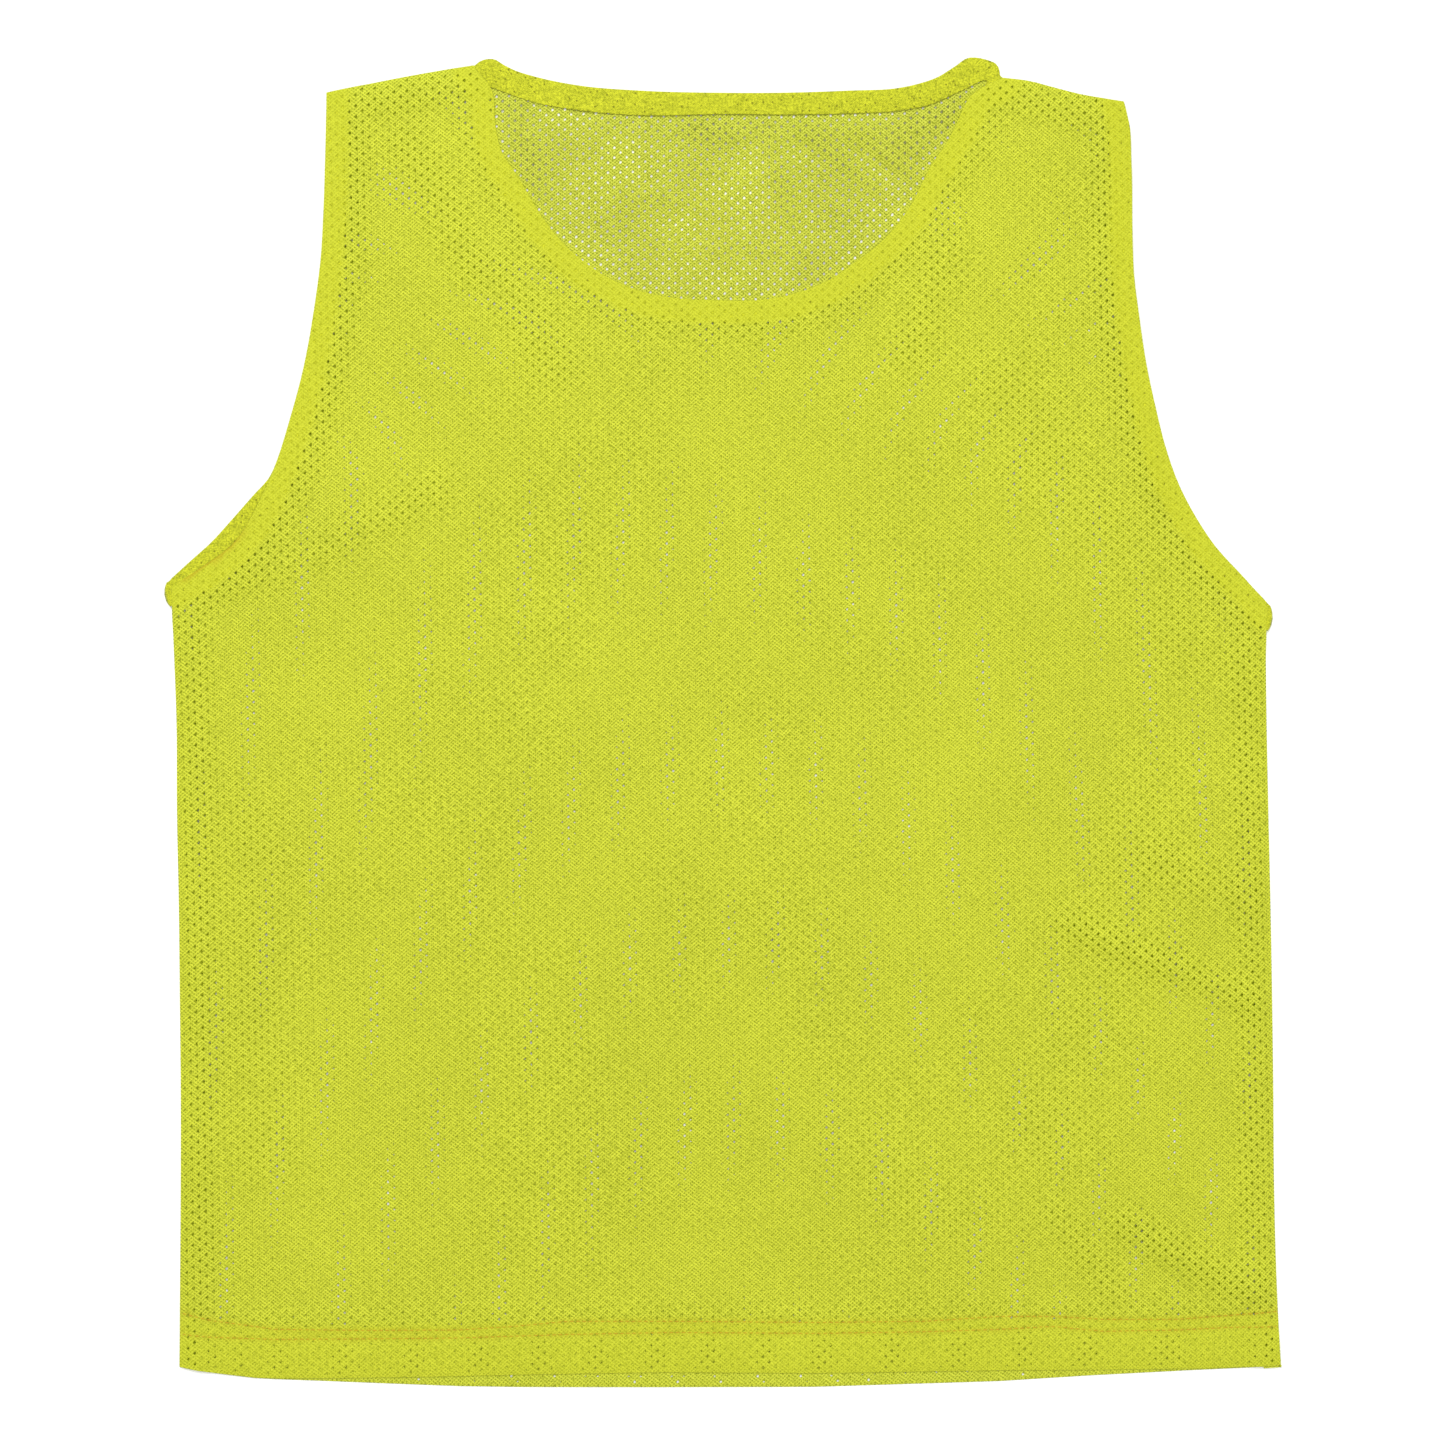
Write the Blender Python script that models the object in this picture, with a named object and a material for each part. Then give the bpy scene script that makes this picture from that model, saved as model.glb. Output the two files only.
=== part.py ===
"""Mesh training bib, laid flat with its front up.

A front and a back panel of net, joined at the shoulders and sides and hemmed below, with a plain tape
turned inside round the neck and round each armhole. Left and right are as seen from above.
Metres, +X to the right, +Y to the shoulders, +Z up, and the back panel rests on Z = 0.
"""

import math

import bmesh
import bpy
import numpy as np

# The sizes below are in millimetres.
MM = 0.001

# Cloth, tape and the space between pieces that are sewn together
CLOTH = 1.0
TAPE = 1.0
TAPE_WIDTH = 10.0
SEAM_GAP = 0.3
HEM_DEPTH = 23.0

# A cut or folded edge is thinned by EDGE_ROUND above and below, over the last EDGE_STRIP of the wall.
EDGE_ROUND = 0.3
EDGE_STRIP = 0.8

# Heights of the layers, each resting on the one below
BACK_TOP = CLOTH
LOW_TAPE = BACK_TOP + SEAM_GAP
HIGH_TAPE = LOW_TAPE + TAPE + SEAM_GAP
FRONT_OVER_BACK = BACK_TOP + SEAM_GAP
FRONT_OVER_HEM = 2 * CLOTH + SEAM_GAP
FRONT_OVER_NECK_TAPE = LOW_TAPE + TAPE + SEAM_GAP
FRONT_OVER_ARM_TAPES = HIGH_TAPE + TAPE + SEAM_GAP

# The front stays raised over this width beside a tape, then comes down over the next.
RAISED = 21.0
FALL = 17.0
HEM_FALL = 26.0

# The seam allowances inside push the front up in a low roll along the sides and shoulders.
ROLL_HEIGHT = 0.9
ROLL_MIDDLE = 8.0
ROLL_WIDTH = 22.0

# Side edges below the armholes: height, left edge, right edge
SIDES = (
    (-290.0, -244.4, 251.0),
    (-265.0, -244.3, 249.6),
    (-240.0, -244.1, 248.6),
    (-205.0, -243.9, 247.8),
    (-165.0, -243.9, 247.5),
    (-125.0, -244.3, 247.0),
    (-80.0, -244.8, 246.2),
    (-40.0, -245.6, 245.3),
    (0.0, -245.8, 244.5),
    (30.0, -246.9, 244.2),
    (46.0, -247.6, 244.4),
)

# Edge of the left armhole on the front, from the shoulder to the underarm: x, y
LEFT_ARM_FRONT = (
    (-178.2, 283.3),
    (-178.7, 259.0),
    (-179.6, 230.2),
    (-180.9, 208.1),
    (-183.2, 190.1),
    (-189.5, 155.5),
    (-194.8, 136.1),
    (-200.2, 118.6),
    (-208.8, 98.8),
    (-219.6, 81.0),
    (-235.3, 69.2),
    (-248.0, 61.0),
)

# The same edge on the back, which shows beyond the front near the underarm: x, y
LEFT_ARM_BACK = LEFT_ARM_FRONT[:8] + (
    (-204.8, 109.2),
    (-210.2, 103.3),
    (-221.0, 91.1),
    (-230.4, 80.8),
    (-239.4, 72.7),
    (-248.6, 64.4),
)

# Edge of the right armhole, the same on the front and the back: x, y
RIGHT_ARM = (
    (180.2, 279.2),
    (182.2, 271.1),
    (183.6, 252.2),
    (184.1, 218.9),
    (184.7, 202.3),
    (187.0, 183.4),
    (190.3, 161.3),
    (194.4, 142.0),
    (199.3, 122.6),
    (204.8, 107.3),
    (213.3, 91.1),
    (220.1, 80.8),
    (236.7, 62.3),
    (245.0, 52.0),
)

# Shoulder seams, from the armhole to the neck: x, y
LEFT_SHOULDER = ((-178.2, 283.3), (-163.3, 286.4), (-145.3, 290.0), (-127.4, 293.2), (-112.0, 295.6))
RIGHT_SHOULDER = ((180.2, 279.2), (162.3, 282.3), (148.5, 285.8), (138.2, 288.5), (126.0, 290.0))

# Free edge of the front's scoop, from the left shoulder seam round to the right one: x, y
SCOOP = (
    (-110.4, 292.6),
    (-104.6, 286.0),
    (-102.2, 268.2),
    (-99.9, 257.9),
    (-91.8, 245.0),
    (-81.5, 227.9),
    (-71.1, 214.9),
    (-59.4, 205.0),
    (-37.4, 194.2),
    (-21.6, 191.0),
    (-1.4, 189.9),
    (18.9, 190.3),
    (34.6, 193.7),
    (46.8, 198.7),
    (60.3, 207.7),
    (72.9, 218.0),
    (82.8, 230.2),
    (94.0, 251.3),
    (101.6, 262.6),
    (106.4, 272.5),
    (110.2, 280.6),
    (116.5, 285.6),
    (124.2, 289.2),
)

# Upper edge of the back neck, from the left shoulder seam to the right one: x, y
BACK_NECK = (
    (-110.2, 296.6),
    (-105.0, 297.6),
    (-97.5, 294.9),
    (-87.3, 290.3),
    (-77.9, 288.1),
    (-55.8, 284.8),
    (-37.4, 283.6),
    (-1.4, 282.5),
    (27.4, 282.7),
    (58.1, 283.6),
    (79.7, 284.6),
    (93.4, 288.2),
    (105.8, 294.6),
    (113.0, 297.6),
    (120.0, 295.2),
)

# The neck tape lies turned in flat. Its back arc: inner x, inner y, outer x, outer y
NECK_TAPE_BACK = (
    (-104.0, 285.6, -103.4, 298.4),
    (-98.6, 283.6, -95.0, 293.9),
    (-87.3, 279.6, -85.0, 290.6),
    (-67.0, 275.6, -65.5, 286.6),
    (-37.4, 273.1, -37.4, 284.2),
    (0.0, 273.6, 0.0, 283.2),
    (30.6, 273.4, 30.6, 283.3),
    (58.1, 274.0, 57.0, 284.2),
    (79.7, 275.2, 77.7, 285.2),
    (92.1, 277.6, 87.6, 287.2),
    (101.4, 281.4, 96.4, 290.2),
    (110.7, 285.8, 104.8, 295.4),
)

# The nub where the tape turns over the right shoulder seam: inner x, inner y, outer x, outer y
RIGHT_NUB = (
    (116.0, 288.4, 110.8, 299.0),
    (118.0, 288.8, 118.0, 298.2),
    (118.6, 288.0, 123.4, 295.6),
    (118.4, 287.2, 124.6, 291.4),
    (117.4, 286.0, 123.6, 285.6),
    (115.6, 284.6, 121.4, 279.4),
)

# The hump where it turns over the left one, the same columns
LEFT_HUMP = (
    (-106.6, 283.6, -115.4, 283.4),
    (-106.4, 284.4, -114.8, 288.8),
    (-105.9, 285.0, -113.0, 293.6),
    (-105.2, 285.4, -108.8, 297.6),
)

# Where each armhole tape folds over a seam: outer x, outer y, inner x, inner y
LEFT_SHOULDER_FOLD = (-178.0, 281.8, -168.2, 283.8)
RIGHT_SHOULDER_FOLD = (180.0, 277.8, 170.2, 279.5)
LEFT_UNDERARM_FOLD = (-250.0, 63.0, -248.4, 52.2)
RIGHT_UNDERARM_FOLD = (245.9, 52.6, 244.8, 41.2)

# Folded edge of the hems: x, y on the back, y on the front
HEMS = (
    (-244.4, -290.0, -289.8),
    (-232.7, -292.3, -292.1),
    (-208.8, -295.2, -294.8),
    (-180.9, -296.2, -295.0),
    (-149.8, -297.4, -294.6),
    (-118.4, -298.6, -294.1),
    (-91.4, -299.0, -293.4),
    (-28.4, -299.1, -292.3),
    (42.3, -298.9, -292.7),
    (124.7, -296.3, -291.4),
    (167.8, -293.6, -291.2),
    (210.6, -291.4, -290.6),
    (251.0, -289.6, -289.2),
)

# Soft folds of the front: x and y of one end, x and y of the other, height, half width
FOLDS = (
    (159.0, -92.0, 246.0, -128.0, 1.3, 12.0),
    (182.0, -226.0, 247.0, -262.0, 1.4, 13.0),
    (150.0, -190.0, 196.0, -40.0, 0.8, 26.0),
    (-208.0, 66.0, -130.0, 104.0, 1.2, 15.0),
    (206.0, 40.0, 128.0, 150.0, 1.0, 24.0),
    (-216.0, -40.0, -206.0, -190.0, 0.9, 20.0),
    (-142.0, 260.0, -118.0, 205.0, 1.0, 14.0),
    (-98.0, 196.0, -66.0, 120.0, 0.9, 18.0),
    (84.0, 178.0, 52.0, 120.0, 0.9, 18.0),
    (-60.0, 100.0, -92.0, -20.0, 0.6, 30.0),
    (-120.0, -60.0, -70.0, -220.0, 0.7, 34.0),
    (30.0, -80.0, 90.0, -215.0, 0.7, 32.0),
)

# Spacing of the sections
STRAP_COLUMNS = 5
SCOOP_COLUMNS = 26
BACK_NECK_COLUMNS = 18
SIDE_ROWS = 20
ARM_ROWS = 22
TAPE_SECTIONS = 24
FOLD_SECTIONS = 4

COLOURS = {
    "front_panel": (0.60, 0.66, 0.045),
    "back_panel": (0.55, 0.61, 0.055),
    "tape": (0.65, 0.70, 0.035),
}
ROUGHNESS = 0.8


def smooth(rows, count):
    """Evenly spaced points along a soft curve through the rows."""
    points = np.array(rows, float)
    steps = np.linalg.norm(np.diff(points, axis=0), axis=1)
    knots = np.concatenate(([0.0], np.cumsum(steps)))
    slopes = np.gradient(points, knots, axis=0)
    at = np.linspace(0.0, knots[-1], count)
    i = np.clip(np.searchsorted(knots, at, side="right") - 1, 0, len(steps) - 1)
    span = steps[i][:, None]
    t = (at[:, None] - knots[i][:, None]) / span
    start = (2 * t**3 - 3 * t**2 + 1) * points[i] + (t**3 - 2 * t**2 + t) * span * slopes[i]
    end = (3 * t**2 - 2 * t**3) * points[i + 1] + (t**3 - t**2) * span * slopes[i + 1]
    return start + end


def distance(x, y, line):
    """Distance from a point to a line of points."""
    a, b = line[:-1], line[1:]
    along = b - a
    to_point = np.array((x, y)) - a
    share = np.clip((to_point * along).sum(1) / (along**2).sum(1), 0.0, 1.0)
    return np.linalg.norm(to_point - share[:, None] * along, axis=1).min()


def ease(share):
    """From 1 at share 0 down to 0 at share 1, level at both ends."""
    return 0.5 + 0.5 * math.cos(math.pi * min(max(share, 0.0), 1.0))


def roll(gap):
    """The low roll over a seam allowance, this far from the seam."""
    if gap < ROLL_MIDDLE:
        return ROLL_HEIGHT * (1.0 - ease(gap / ROLL_MIDDLE))
    return ROLL_HEIGHT * ease((gap - ROLL_MIDDLE) / (ROLL_WIDTH - ROLL_MIDDLE))


def fold_height(x, y):
    """How far the soft folds raise the front."""
    height = 0.0
    for x0, y0, x1, y1, top, half_width in FOLDS:
        line = np.array(((x0, y0), (x1, y1)))
        height += top * ease(distance(x, y, line) / (2 * half_width))
    return height


def hem_edge(x, column):
    hems = np.array(HEMS)
    return float(np.interp(x, hems[:, 0], hems[:, column]))


class Panel:
    """The net of points that both faces of a panel stand on, as rows from the hem to the neck."""

    def __init__(self, left_arm, right_arm, neck, neck_columns, hem_column):
        self.hem_column = hem_column
        side = smooth([(y, left, right) for y, left, right in SIDES], SIDE_ROWS)
        left_edge = np.vstack((side[:, [1, 0]], smooth(left_arm, ARM_ROWS)[::-1]))
        right_edge = np.vstack((side[:, [2, 0]], smooth(right_arm, ARM_ROWS)[::-1]))
        self.left_edge, self.right_edge = left_edge, right_edge
        self.left_arm, self.right_arm = smooth(left_arm, 60), smooth(right_arm, 60)
        self.left_shoulder, self.right_shoulder = smooth(LEFT_SHOULDER, 20), smooth(RIGHT_SHOULDER, 20)
        self.neck = smooth(neck, 120)
        self.top = self.top_points(neck, neck_columns)
        self.share = np.array([self.share_across(x, y) for x, y in self.top])
        self.rows = self.make_rows()

    def top_points(self, neck, neck_columns):
        """Where the columns end: along the left shoulder, the neck and the right shoulder."""
        left = smooth(LEFT_SHOULDER, STRAP_COLUMNS + 1)
        right = smooth(RIGHT_SHOULDER, STRAP_COLUMNS + 1)
        corners = []
        for shoulder in (left, right):
            along = shoulder[1] - shoulder[0]
            corners.append(shoulder[0] + along * EDGE_STRIP / np.linalg.norm(along))
        middle = smooth(neck, neck_columns)
        return np.vstack((left[:1], corners[0], left[1:], middle, right[:0:-1], corners[1], right[:1]))

    def edges_at(self, y):
        left = float(np.interp(y, self.left_edge[:, 1], self.left_edge[:, 0]))
        right = float(np.interp(y, self.right_edge[:, 1], self.right_edge[:, 0]))
        return left, right

    def share_across(self, x, y):
        left, right = self.edges_at(y)
        return (x - left) / (right - left)

    def make_rows(self):
        """Rows of (x, y), each column at one share of the width, its height shared out as at the edges."""
        low = self.edges_at(SIDES[0][0])
        hem = [hem_edge(low[0] + s * (low[1] - low[0]), self.hem_column) for s in self.share]
        base = np.array(hem) + HEM_DEPTH + 1.0
        top = self.top[:, 1]
        hem_steps = (0.0, EDGE_STRIP, 8.0, 16.0, HEM_DEPTH, HEM_DEPTH + 1.0)
        heights = [np.array(hem) + step for step in hem_steps]
        left_y, right_y = self.left_edge[:, 1], self.right_edge[:, 1]
        for left, right in zip(left_y[2:-1], right_y[2:-1]):
            left_share = (left - base[0]) / (left_y[-1] - base[0])
            right_share = (right - base[-1]) / (right_y[-1] - base[-1])
            share = left_share + self.share * (right_share - left_share)
            heights.append(base + share * (top - base))
        heights += [top - EDGE_STRIP, top]
        rows = []
        for height in heights:
            edges = [self.edges_at(y) for y in height]
            rows.append([(a + s * (b - a), y) for (a, b), s, y in zip(edges, self.share, height)])
        return rows

    def above_hem(self, x, y):
        return y - hem_edge(x, self.hem_column)

    def wall(self, x, y):
        """The hem is two layers, the rest one."""
        return 2 * CLOTH if self.above_hem(x, y) < HEM_DEPTH + 0.5 else CLOTH

    def sections(self, surface):
        """One closed section for each row: the under side from left to right, then the face back again."""
        last_row, last_column = len(self.rows) - 1, len(self.share) - 1
        for k, row in enumerate(self.rows):
            under, face = [], []
            for j, (x, y) in enumerate(row):
                low, high = surface(x, y)
                at_edge = k in (0, last_row) or j in (0, last_column)
                trim = EDGE_ROUND if at_edge else 0.0
                under.append((x, y, low + trim))
                face.append((x, y, high - trim))
            yield under + face[::-1]


def back_surface(panel):
    """The back lies flat. Its hem is turned up on the inside, which faces up here."""
    return lambda x, y: (0.0, panel.wall(x, y))


def front_surface(panel):
    """The front rests on the back, the tapes and the back's hem, and comes down softly between them."""

    def surface(x, y):
        arm_gap = min(distance(x, y, panel.left_arm), distance(x, y, panel.right_arm))
        neck_gap = distance(x, y, panel.neck)
        shoulder_gap = min(distance(x, y, panel.left_shoulder), distance(x, y, panel.right_shoulder))
        left, right = panel.edges_at(y)
        seam_gap = min(x - left, right - x, shoulder_gap)
        over_arm = (FRONT_OVER_ARM_TAPES - FRONT_OVER_BACK) * ease((arm_gap - RAISED) / FALL)
        over_neck = (FRONT_OVER_NECK_TAPE - FRONT_OVER_BACK) * ease((neck_gap - RAISED) / FALL)
        hem_top = FRONT_OVER_HEM + 2 * CLOTH
        above_hem = panel.above_hem(x, y)
        over_hem = (hem_top - CLOTH - FRONT_OVER_BACK) * ease((above_hem - HEM_DEPTH - 2.0) / HEM_FALL)
        free = 1.0 - ease(min(arm_gap, neck_gap, seam_gap, above_hem - HEM_DEPTH) / (2 * FALL))
        raised = max(over_arm, over_neck, over_hem, roll(seam_gap))
        face = FRONT_OVER_BACK + CLOTH + raised + free * fold_height(x, y)
        return face - panel.wall(x, y), face

    return surface


def band_section(centre, across, up, thickness):
    """Eight points round a flat band with rounded edges. across reaches from its middle to its edge."""
    centre, across, up = np.array(centre), np.array(across), np.array(up)
    half_width = np.linalg.norm(across)
    side = across / half_width
    half, cut = thickness / 2, EDGE_ROUND
    corners = (
        (half_width - cut, half),
        (half_width, half - cut),
        (half_width, cut - half),
        (half_width - cut, -half),
    )
    corners += tuple((-w, h) for w, h in corners[::-1])
    return [centre + w * side + h * up for w, h in corners]


def flat_section(inner, outer, low):
    """A section of tape lying flat between an inner and an outer point, with its under side at low."""
    centre = ((inner[0] + outer[0]) / 2, (inner[1] + outer[1]) / 2, low + TAPE / 2)
    across = ((outer[0] - inner[0]) / 2, (outer[1] - inner[1]) / 2, 0.0)
    return band_section(centre, across, (0.0, 0.0, 1.0), TAPE)


def inset_points(edge, first_across, last_across):
    """Points one tape width inside an edge, which reach the given ends exactly."""
    tangent = np.gradient(edge, axis=0)
    tangent /= np.linalg.norm(tangent, axis=1)[:, None]
    inward = np.column_stack((-tangent[:, 1], tangent[:, 0]))
    inward *= np.sign((inward[0] * first_across).sum()) * TAPE_WIDTH
    share = np.linspace(0.0, 1.0, len(edge))
    near_first = np.array([ease(s / 0.12) for s in share])[:, None]
    near_last = np.array([ease((1.0 - s) / 0.18) for s in share])[:, None]
    across = inward * (1 - near_first) * (1 - near_last)
    across += np.array(first_across) * near_first + np.array(last_across) * near_last
    return edge + across


def turned_over(fold, outward):
    """Sections of tape turning over a seam, from under the front down to the back."""
    outer, inner = np.array(fold[:2]), np.array(fold[2:])
    middle, across = (outer + inner) / 2, (outer - inner) / 2
    radius = (HIGH_TAPE - LOW_TAPE) / 2
    centre_height = (HIGH_TAPE + LOW_TAPE + TAPE) / 2
    sections = []
    for step in range(1, FOLD_SECTIONS):
        angle = math.pi * step / FOLD_SECTIONS
        reach, rise = math.sin(angle), math.cos(angle)
        centre = (*(middle + outward * radius * reach), centre_height + radius * rise)
        up = (*(outward * reach), rise)
        sections.append(band_section(centre, (*across, 0.0), up, TAPE))
    return sections


def fold_outward(fold, body_middle):
    """Unit direction out of the bib, square to a fold."""
    outer, inner = np.array(fold[:2]), np.array(fold[2:])
    along = (inner - outer) / np.linalg.norm(inner - outer)
    square = np.array((-along[1], along[0]))
    away = (outer + inner) / 2 - np.array(body_middle)
    return square * np.sign((square * away).sum())


def armhole_tape_sections(front_edge, back_edge, shoulder_fold, underarm_fold):
    """Down the front of the armhole, over the underarm seam, up the back and over the shoulder seam."""
    shoulder, underarm = np.array(shoulder_fold), np.array(underarm_fold)
    arcs = []
    for edge, low in ((front_edge, HIGH_TAPE), (back_edge, LOW_TAPE)):
        outline = smooth((shoulder_fold[:2],) + edge[1:-1] + (underarm_fold[:2],), TAPE_SECTIONS)
        inner = inset_points(outline, shoulder[2:] - shoulder[:2], underarm[2:] - underarm[:2])
        arcs.append([flat_section(b, a, low) for a, b in zip(outline, inner)])
    front_arc, back_arc = arcs
    underarm_turn = turned_over(underarm_fold, fold_outward(underarm_fold, (0.0, 50.0)))
    shoulder_turn = turned_over(shoulder_fold, fold_outward(shoulder_fold, (shoulder_fold[0], 0.0)))
    # Below the folds the tape's face looks down, so its section runs the other way round.
    back_arc = [section[3::-1] + section[:3:-1] for section in back_arc[::-1]]
    return front_arc + underarm_turn + back_arc + shoulder_turn[::-1]


def neck_tape_sections():
    """Along the back neck, round the nub, down and up the scoop under the front, and round the hump."""
    scoop = smooth(SCOOP[2:-3], TAPE_SECTIONS)[::-1]
    tangent = np.gradient(scoop, axis=0)
    tangent /= np.linalg.norm(tangent, axis=1)[:, None]
    outward = np.column_stack((-tangent[:, 1], tangent[:, 0])) * TAPE_WIDTH
    scoop_rows = [(*(edge + 0.5 * way / TAPE_WIDTH), *(edge + way)) for edge, way in zip(scoop, outward)]
    back_rows = smooth(NECK_TAPE_BACK, TAPE_SECTIONS)
    rows = [*back_rows, *RIGHT_NUB, *scoop_rows, *LEFT_HUMP]
    return [flat_section(row[:2], row[2:], LOW_TAPE) for row in rows]


def skin(sections, ring):
    """A closed body through the sections. A ring joins the last to the first, otherwise both ends are capped."""
    mesh = bmesh.new()
    loops = [[mesh.verts.new([c * MM for c in point]) for point in section] for section in sections]
    following = loops[1:] + (loops[:1] if ring else [])
    for first, second in zip(loops, following):
        for k in range(len(first)):
            mesh.faces.new((first[k - 1], first[k], second[k], second[k - 1]))
    if not ring:
        for loop in (loops[0], loops[-1]):
            for k in range(len(loop) // 2 - 1):
                mesh.faces.new((loop[k], loop[k + 1], loop[-2 - k], loop[-1 - k]))
    bmesh.ops.recalc_face_normals(mesh, faces=mesh.faces)
    return mesh


def cloth_material(name, colour):
    material = bpy.data.materials.new(name)
    material.use_nodes = True
    shader = material.node_tree.nodes["Principled BSDF"]
    shader.inputs["Base Color"].default_value = (*colour, 1.0)
    shader.inputs["Roughness"].default_value = ROUGHNESS
    shader.inputs["Metallic"].default_value = 0.0
    return material


def add_piece(name, mesh, colour):
    """A named object with its own cloth material, shaded smooth but for its edges."""
    data = bpy.data.meshes.new(name)
    mesh.to_mesh(data)
    mesh.free()
    data.shade_smooth()
    data.set_sharp_from_angle(angle=math.radians(40.0))
    data.materials.append(cloth_material(name, colour))
    piece = bpy.data.objects.new(name, data)
    bpy.context.scene.collection.objects.link(piece)
    return piece


def clear_scene():
    for thing in list(bpy.data.objects):
        bpy.data.objects.remove(thing, do_unlink=True)


def main():
    clear_scene()
    back = Panel(LEFT_ARM_BACK, RIGHT_ARM, BACK_NECK, BACK_NECK_COLUMNS, 1)
    front = Panel(LEFT_ARM_FRONT, RIGHT_ARM, SCOOP, SCOOP_COLUMNS, 2)
    add_piece("back_panel", skin(back.sections(back_surface(back)), ring=False), COLOURS["back_panel"])
    add_piece("front_panel", skin(front.sections(front_surface(front)), ring=False), COLOURS["front_panel"])
    add_piece("neck_tape", skin(neck_tape_sections(), ring=True), COLOURS["tape"])
    left_tape = armhole_tape_sections(
        LEFT_ARM_FRONT, LEFT_ARM_BACK, LEFT_SHOULDER_FOLD, LEFT_UNDERARM_FOLD
    )
    right_tape = armhole_tape_sections(RIGHT_ARM, RIGHT_ARM, RIGHT_SHOULDER_FOLD, RIGHT_UNDERARM_FOLD)
    add_piece("armhole_tape_left", skin(left_tape, ring=True), COLOURS["tape"])
    add_piece("armhole_tape_right", skin(right_tape, ring=True), COLOURS["tape"])


main()
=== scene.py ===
import math

import bmesh
import bpy
import numpy as np
from mathutils import Matrix


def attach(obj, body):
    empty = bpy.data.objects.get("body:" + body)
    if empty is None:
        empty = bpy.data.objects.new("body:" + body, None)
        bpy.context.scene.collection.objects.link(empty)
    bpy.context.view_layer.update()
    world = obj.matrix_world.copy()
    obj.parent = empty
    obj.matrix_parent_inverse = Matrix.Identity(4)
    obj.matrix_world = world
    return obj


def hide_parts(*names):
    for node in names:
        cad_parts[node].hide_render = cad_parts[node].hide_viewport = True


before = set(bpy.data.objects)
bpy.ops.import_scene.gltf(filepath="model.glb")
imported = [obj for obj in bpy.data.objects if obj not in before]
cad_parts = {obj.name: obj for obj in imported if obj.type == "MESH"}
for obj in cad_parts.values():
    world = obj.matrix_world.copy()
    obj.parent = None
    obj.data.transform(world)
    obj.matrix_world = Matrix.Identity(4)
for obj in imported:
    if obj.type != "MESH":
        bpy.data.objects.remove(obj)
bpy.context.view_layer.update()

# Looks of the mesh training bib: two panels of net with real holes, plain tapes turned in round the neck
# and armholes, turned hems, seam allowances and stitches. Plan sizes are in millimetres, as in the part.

MM = 0.001

# Heights of the faces of the thin layers. Each rests on the one below.
BACK_NET = 0.5
LOW_TAPE = 0.66
TAPE = 0.7
HIGH_TAPE = LOW_TAPE + TAPE + 0.12
FRONT_NET = 0.68
FRONT_ON_NECK_TAPE = LOW_TAPE + TAPE + 0.1
FRONT_ON_ARM_TAPES = HIGH_TAPE + TAPE + 0.1
BACK_HEM = 0.64
FRONT_ON_HEMS = 1.2

# How far the turned part of the front's hem lies below its face
HEM_LAYER = 0.2

TAPE_WIDTH = 10.0
HEM_DEPTH = 23.0

# How far the middle of an armhole tape bulges where it turns over the underarm seam
UNDERARM_PUFF = 1.0

# The allowances of the side and shoulder seams lie inside and lift the front. They start clear of the
# seam, and each strip climbs from one height to the other across its width.
ALLOWANCE = 8.0
ALLOWANCE_START = 0.8
ALLOWANCE_HEIGHTS = (0.65, 1.0)
ROLL = 1.5
ROLL_END = 22.0

# Every cut edge is turned down over this width, in steps: share of it outwards, share of the drop
EDGE = 0.3
ROUND_TURN = ((0.8, 0.25), (0.2, 0.4), (-0.6, 0.35))
SHORT_TURN = ((0.8, 0.4), (0.2, 0.6))

STITCH_PITCH = 2.7

# Along the neck tape from its left end: the two lines of its join, and the stretch that wrinkles
TAPE_JOIN = (199.0, 204.5)
NUB = (222.0, 236.0)

# Half the distance between holes across and along the cloth, and half their width and height
FRONT_PITCH = (2.79, 2.437)
BACK_PITCH = (2.754, 2.475)
HOLE = (0.58, 0.70)
HOLE_CLEARANCE = 1.35

# Side edges below the armholes: height, left edge, right edge
SIDES = (
    (-290.0, -244.4, 251.0),
    (-265.0, -244.3, 249.6),
    (-240.0, -244.1, 248.6),
    (-205.0, -243.9, 247.8),
    (-165.0, -243.9, 247.5),
    (-125.0, -244.3, 247.0),
    (-80.0, -244.8, 246.2),
    (-40.0, -245.6, 245.3),
    (0.0, -245.8, 244.5),
    (30.0, -246.9, 244.2),
    (46.0, -247.6, 244.4),
)

# Edge of the left armhole on the front, from the shoulder to the underarm: x, y
LEFT_ARM_FRONT = (
    (-178.2, 283.3),
    (-178.7, 259.0),
    (-179.6, 230.2),
    (-180.9, 208.1),
    (-183.2, 190.1),
    (-189.5, 155.5),
    (-194.8, 136.1),
    (-200.2, 118.6),
    (-208.8, 98.8),
    (-219.6, 81.0),
    (-235.3, 69.2),
    (-248.0, 61.0),
)

# The same edge on the back, which shows beyond the front near the underarm: x, y
LEFT_ARM_BACK = LEFT_ARM_FRONT[:8] + (
    (-204.8, 109.2),
    (-210.2, 103.3),
    (-221.0, 91.1),
    (-230.4, 80.8),
    (-239.4, 72.7),
    (-248.6, 64.4),
)

# Edge of the right armhole, the same on the front and the back: x, y
RIGHT_ARM = (
    (180.2, 279.2),
    (182.2, 271.1),
    (183.6, 252.2),
    (184.1, 218.9),
    (184.7, 202.3),
    (187.0, 183.4),
    (190.3, 161.3),
    (194.4, 142.0),
    (199.3, 122.6),
    (204.8, 107.3),
    (213.3, 91.1),
    (220.1, 80.8),
    (236.7, 62.3),
    (245.0, 52.0),
)

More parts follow.
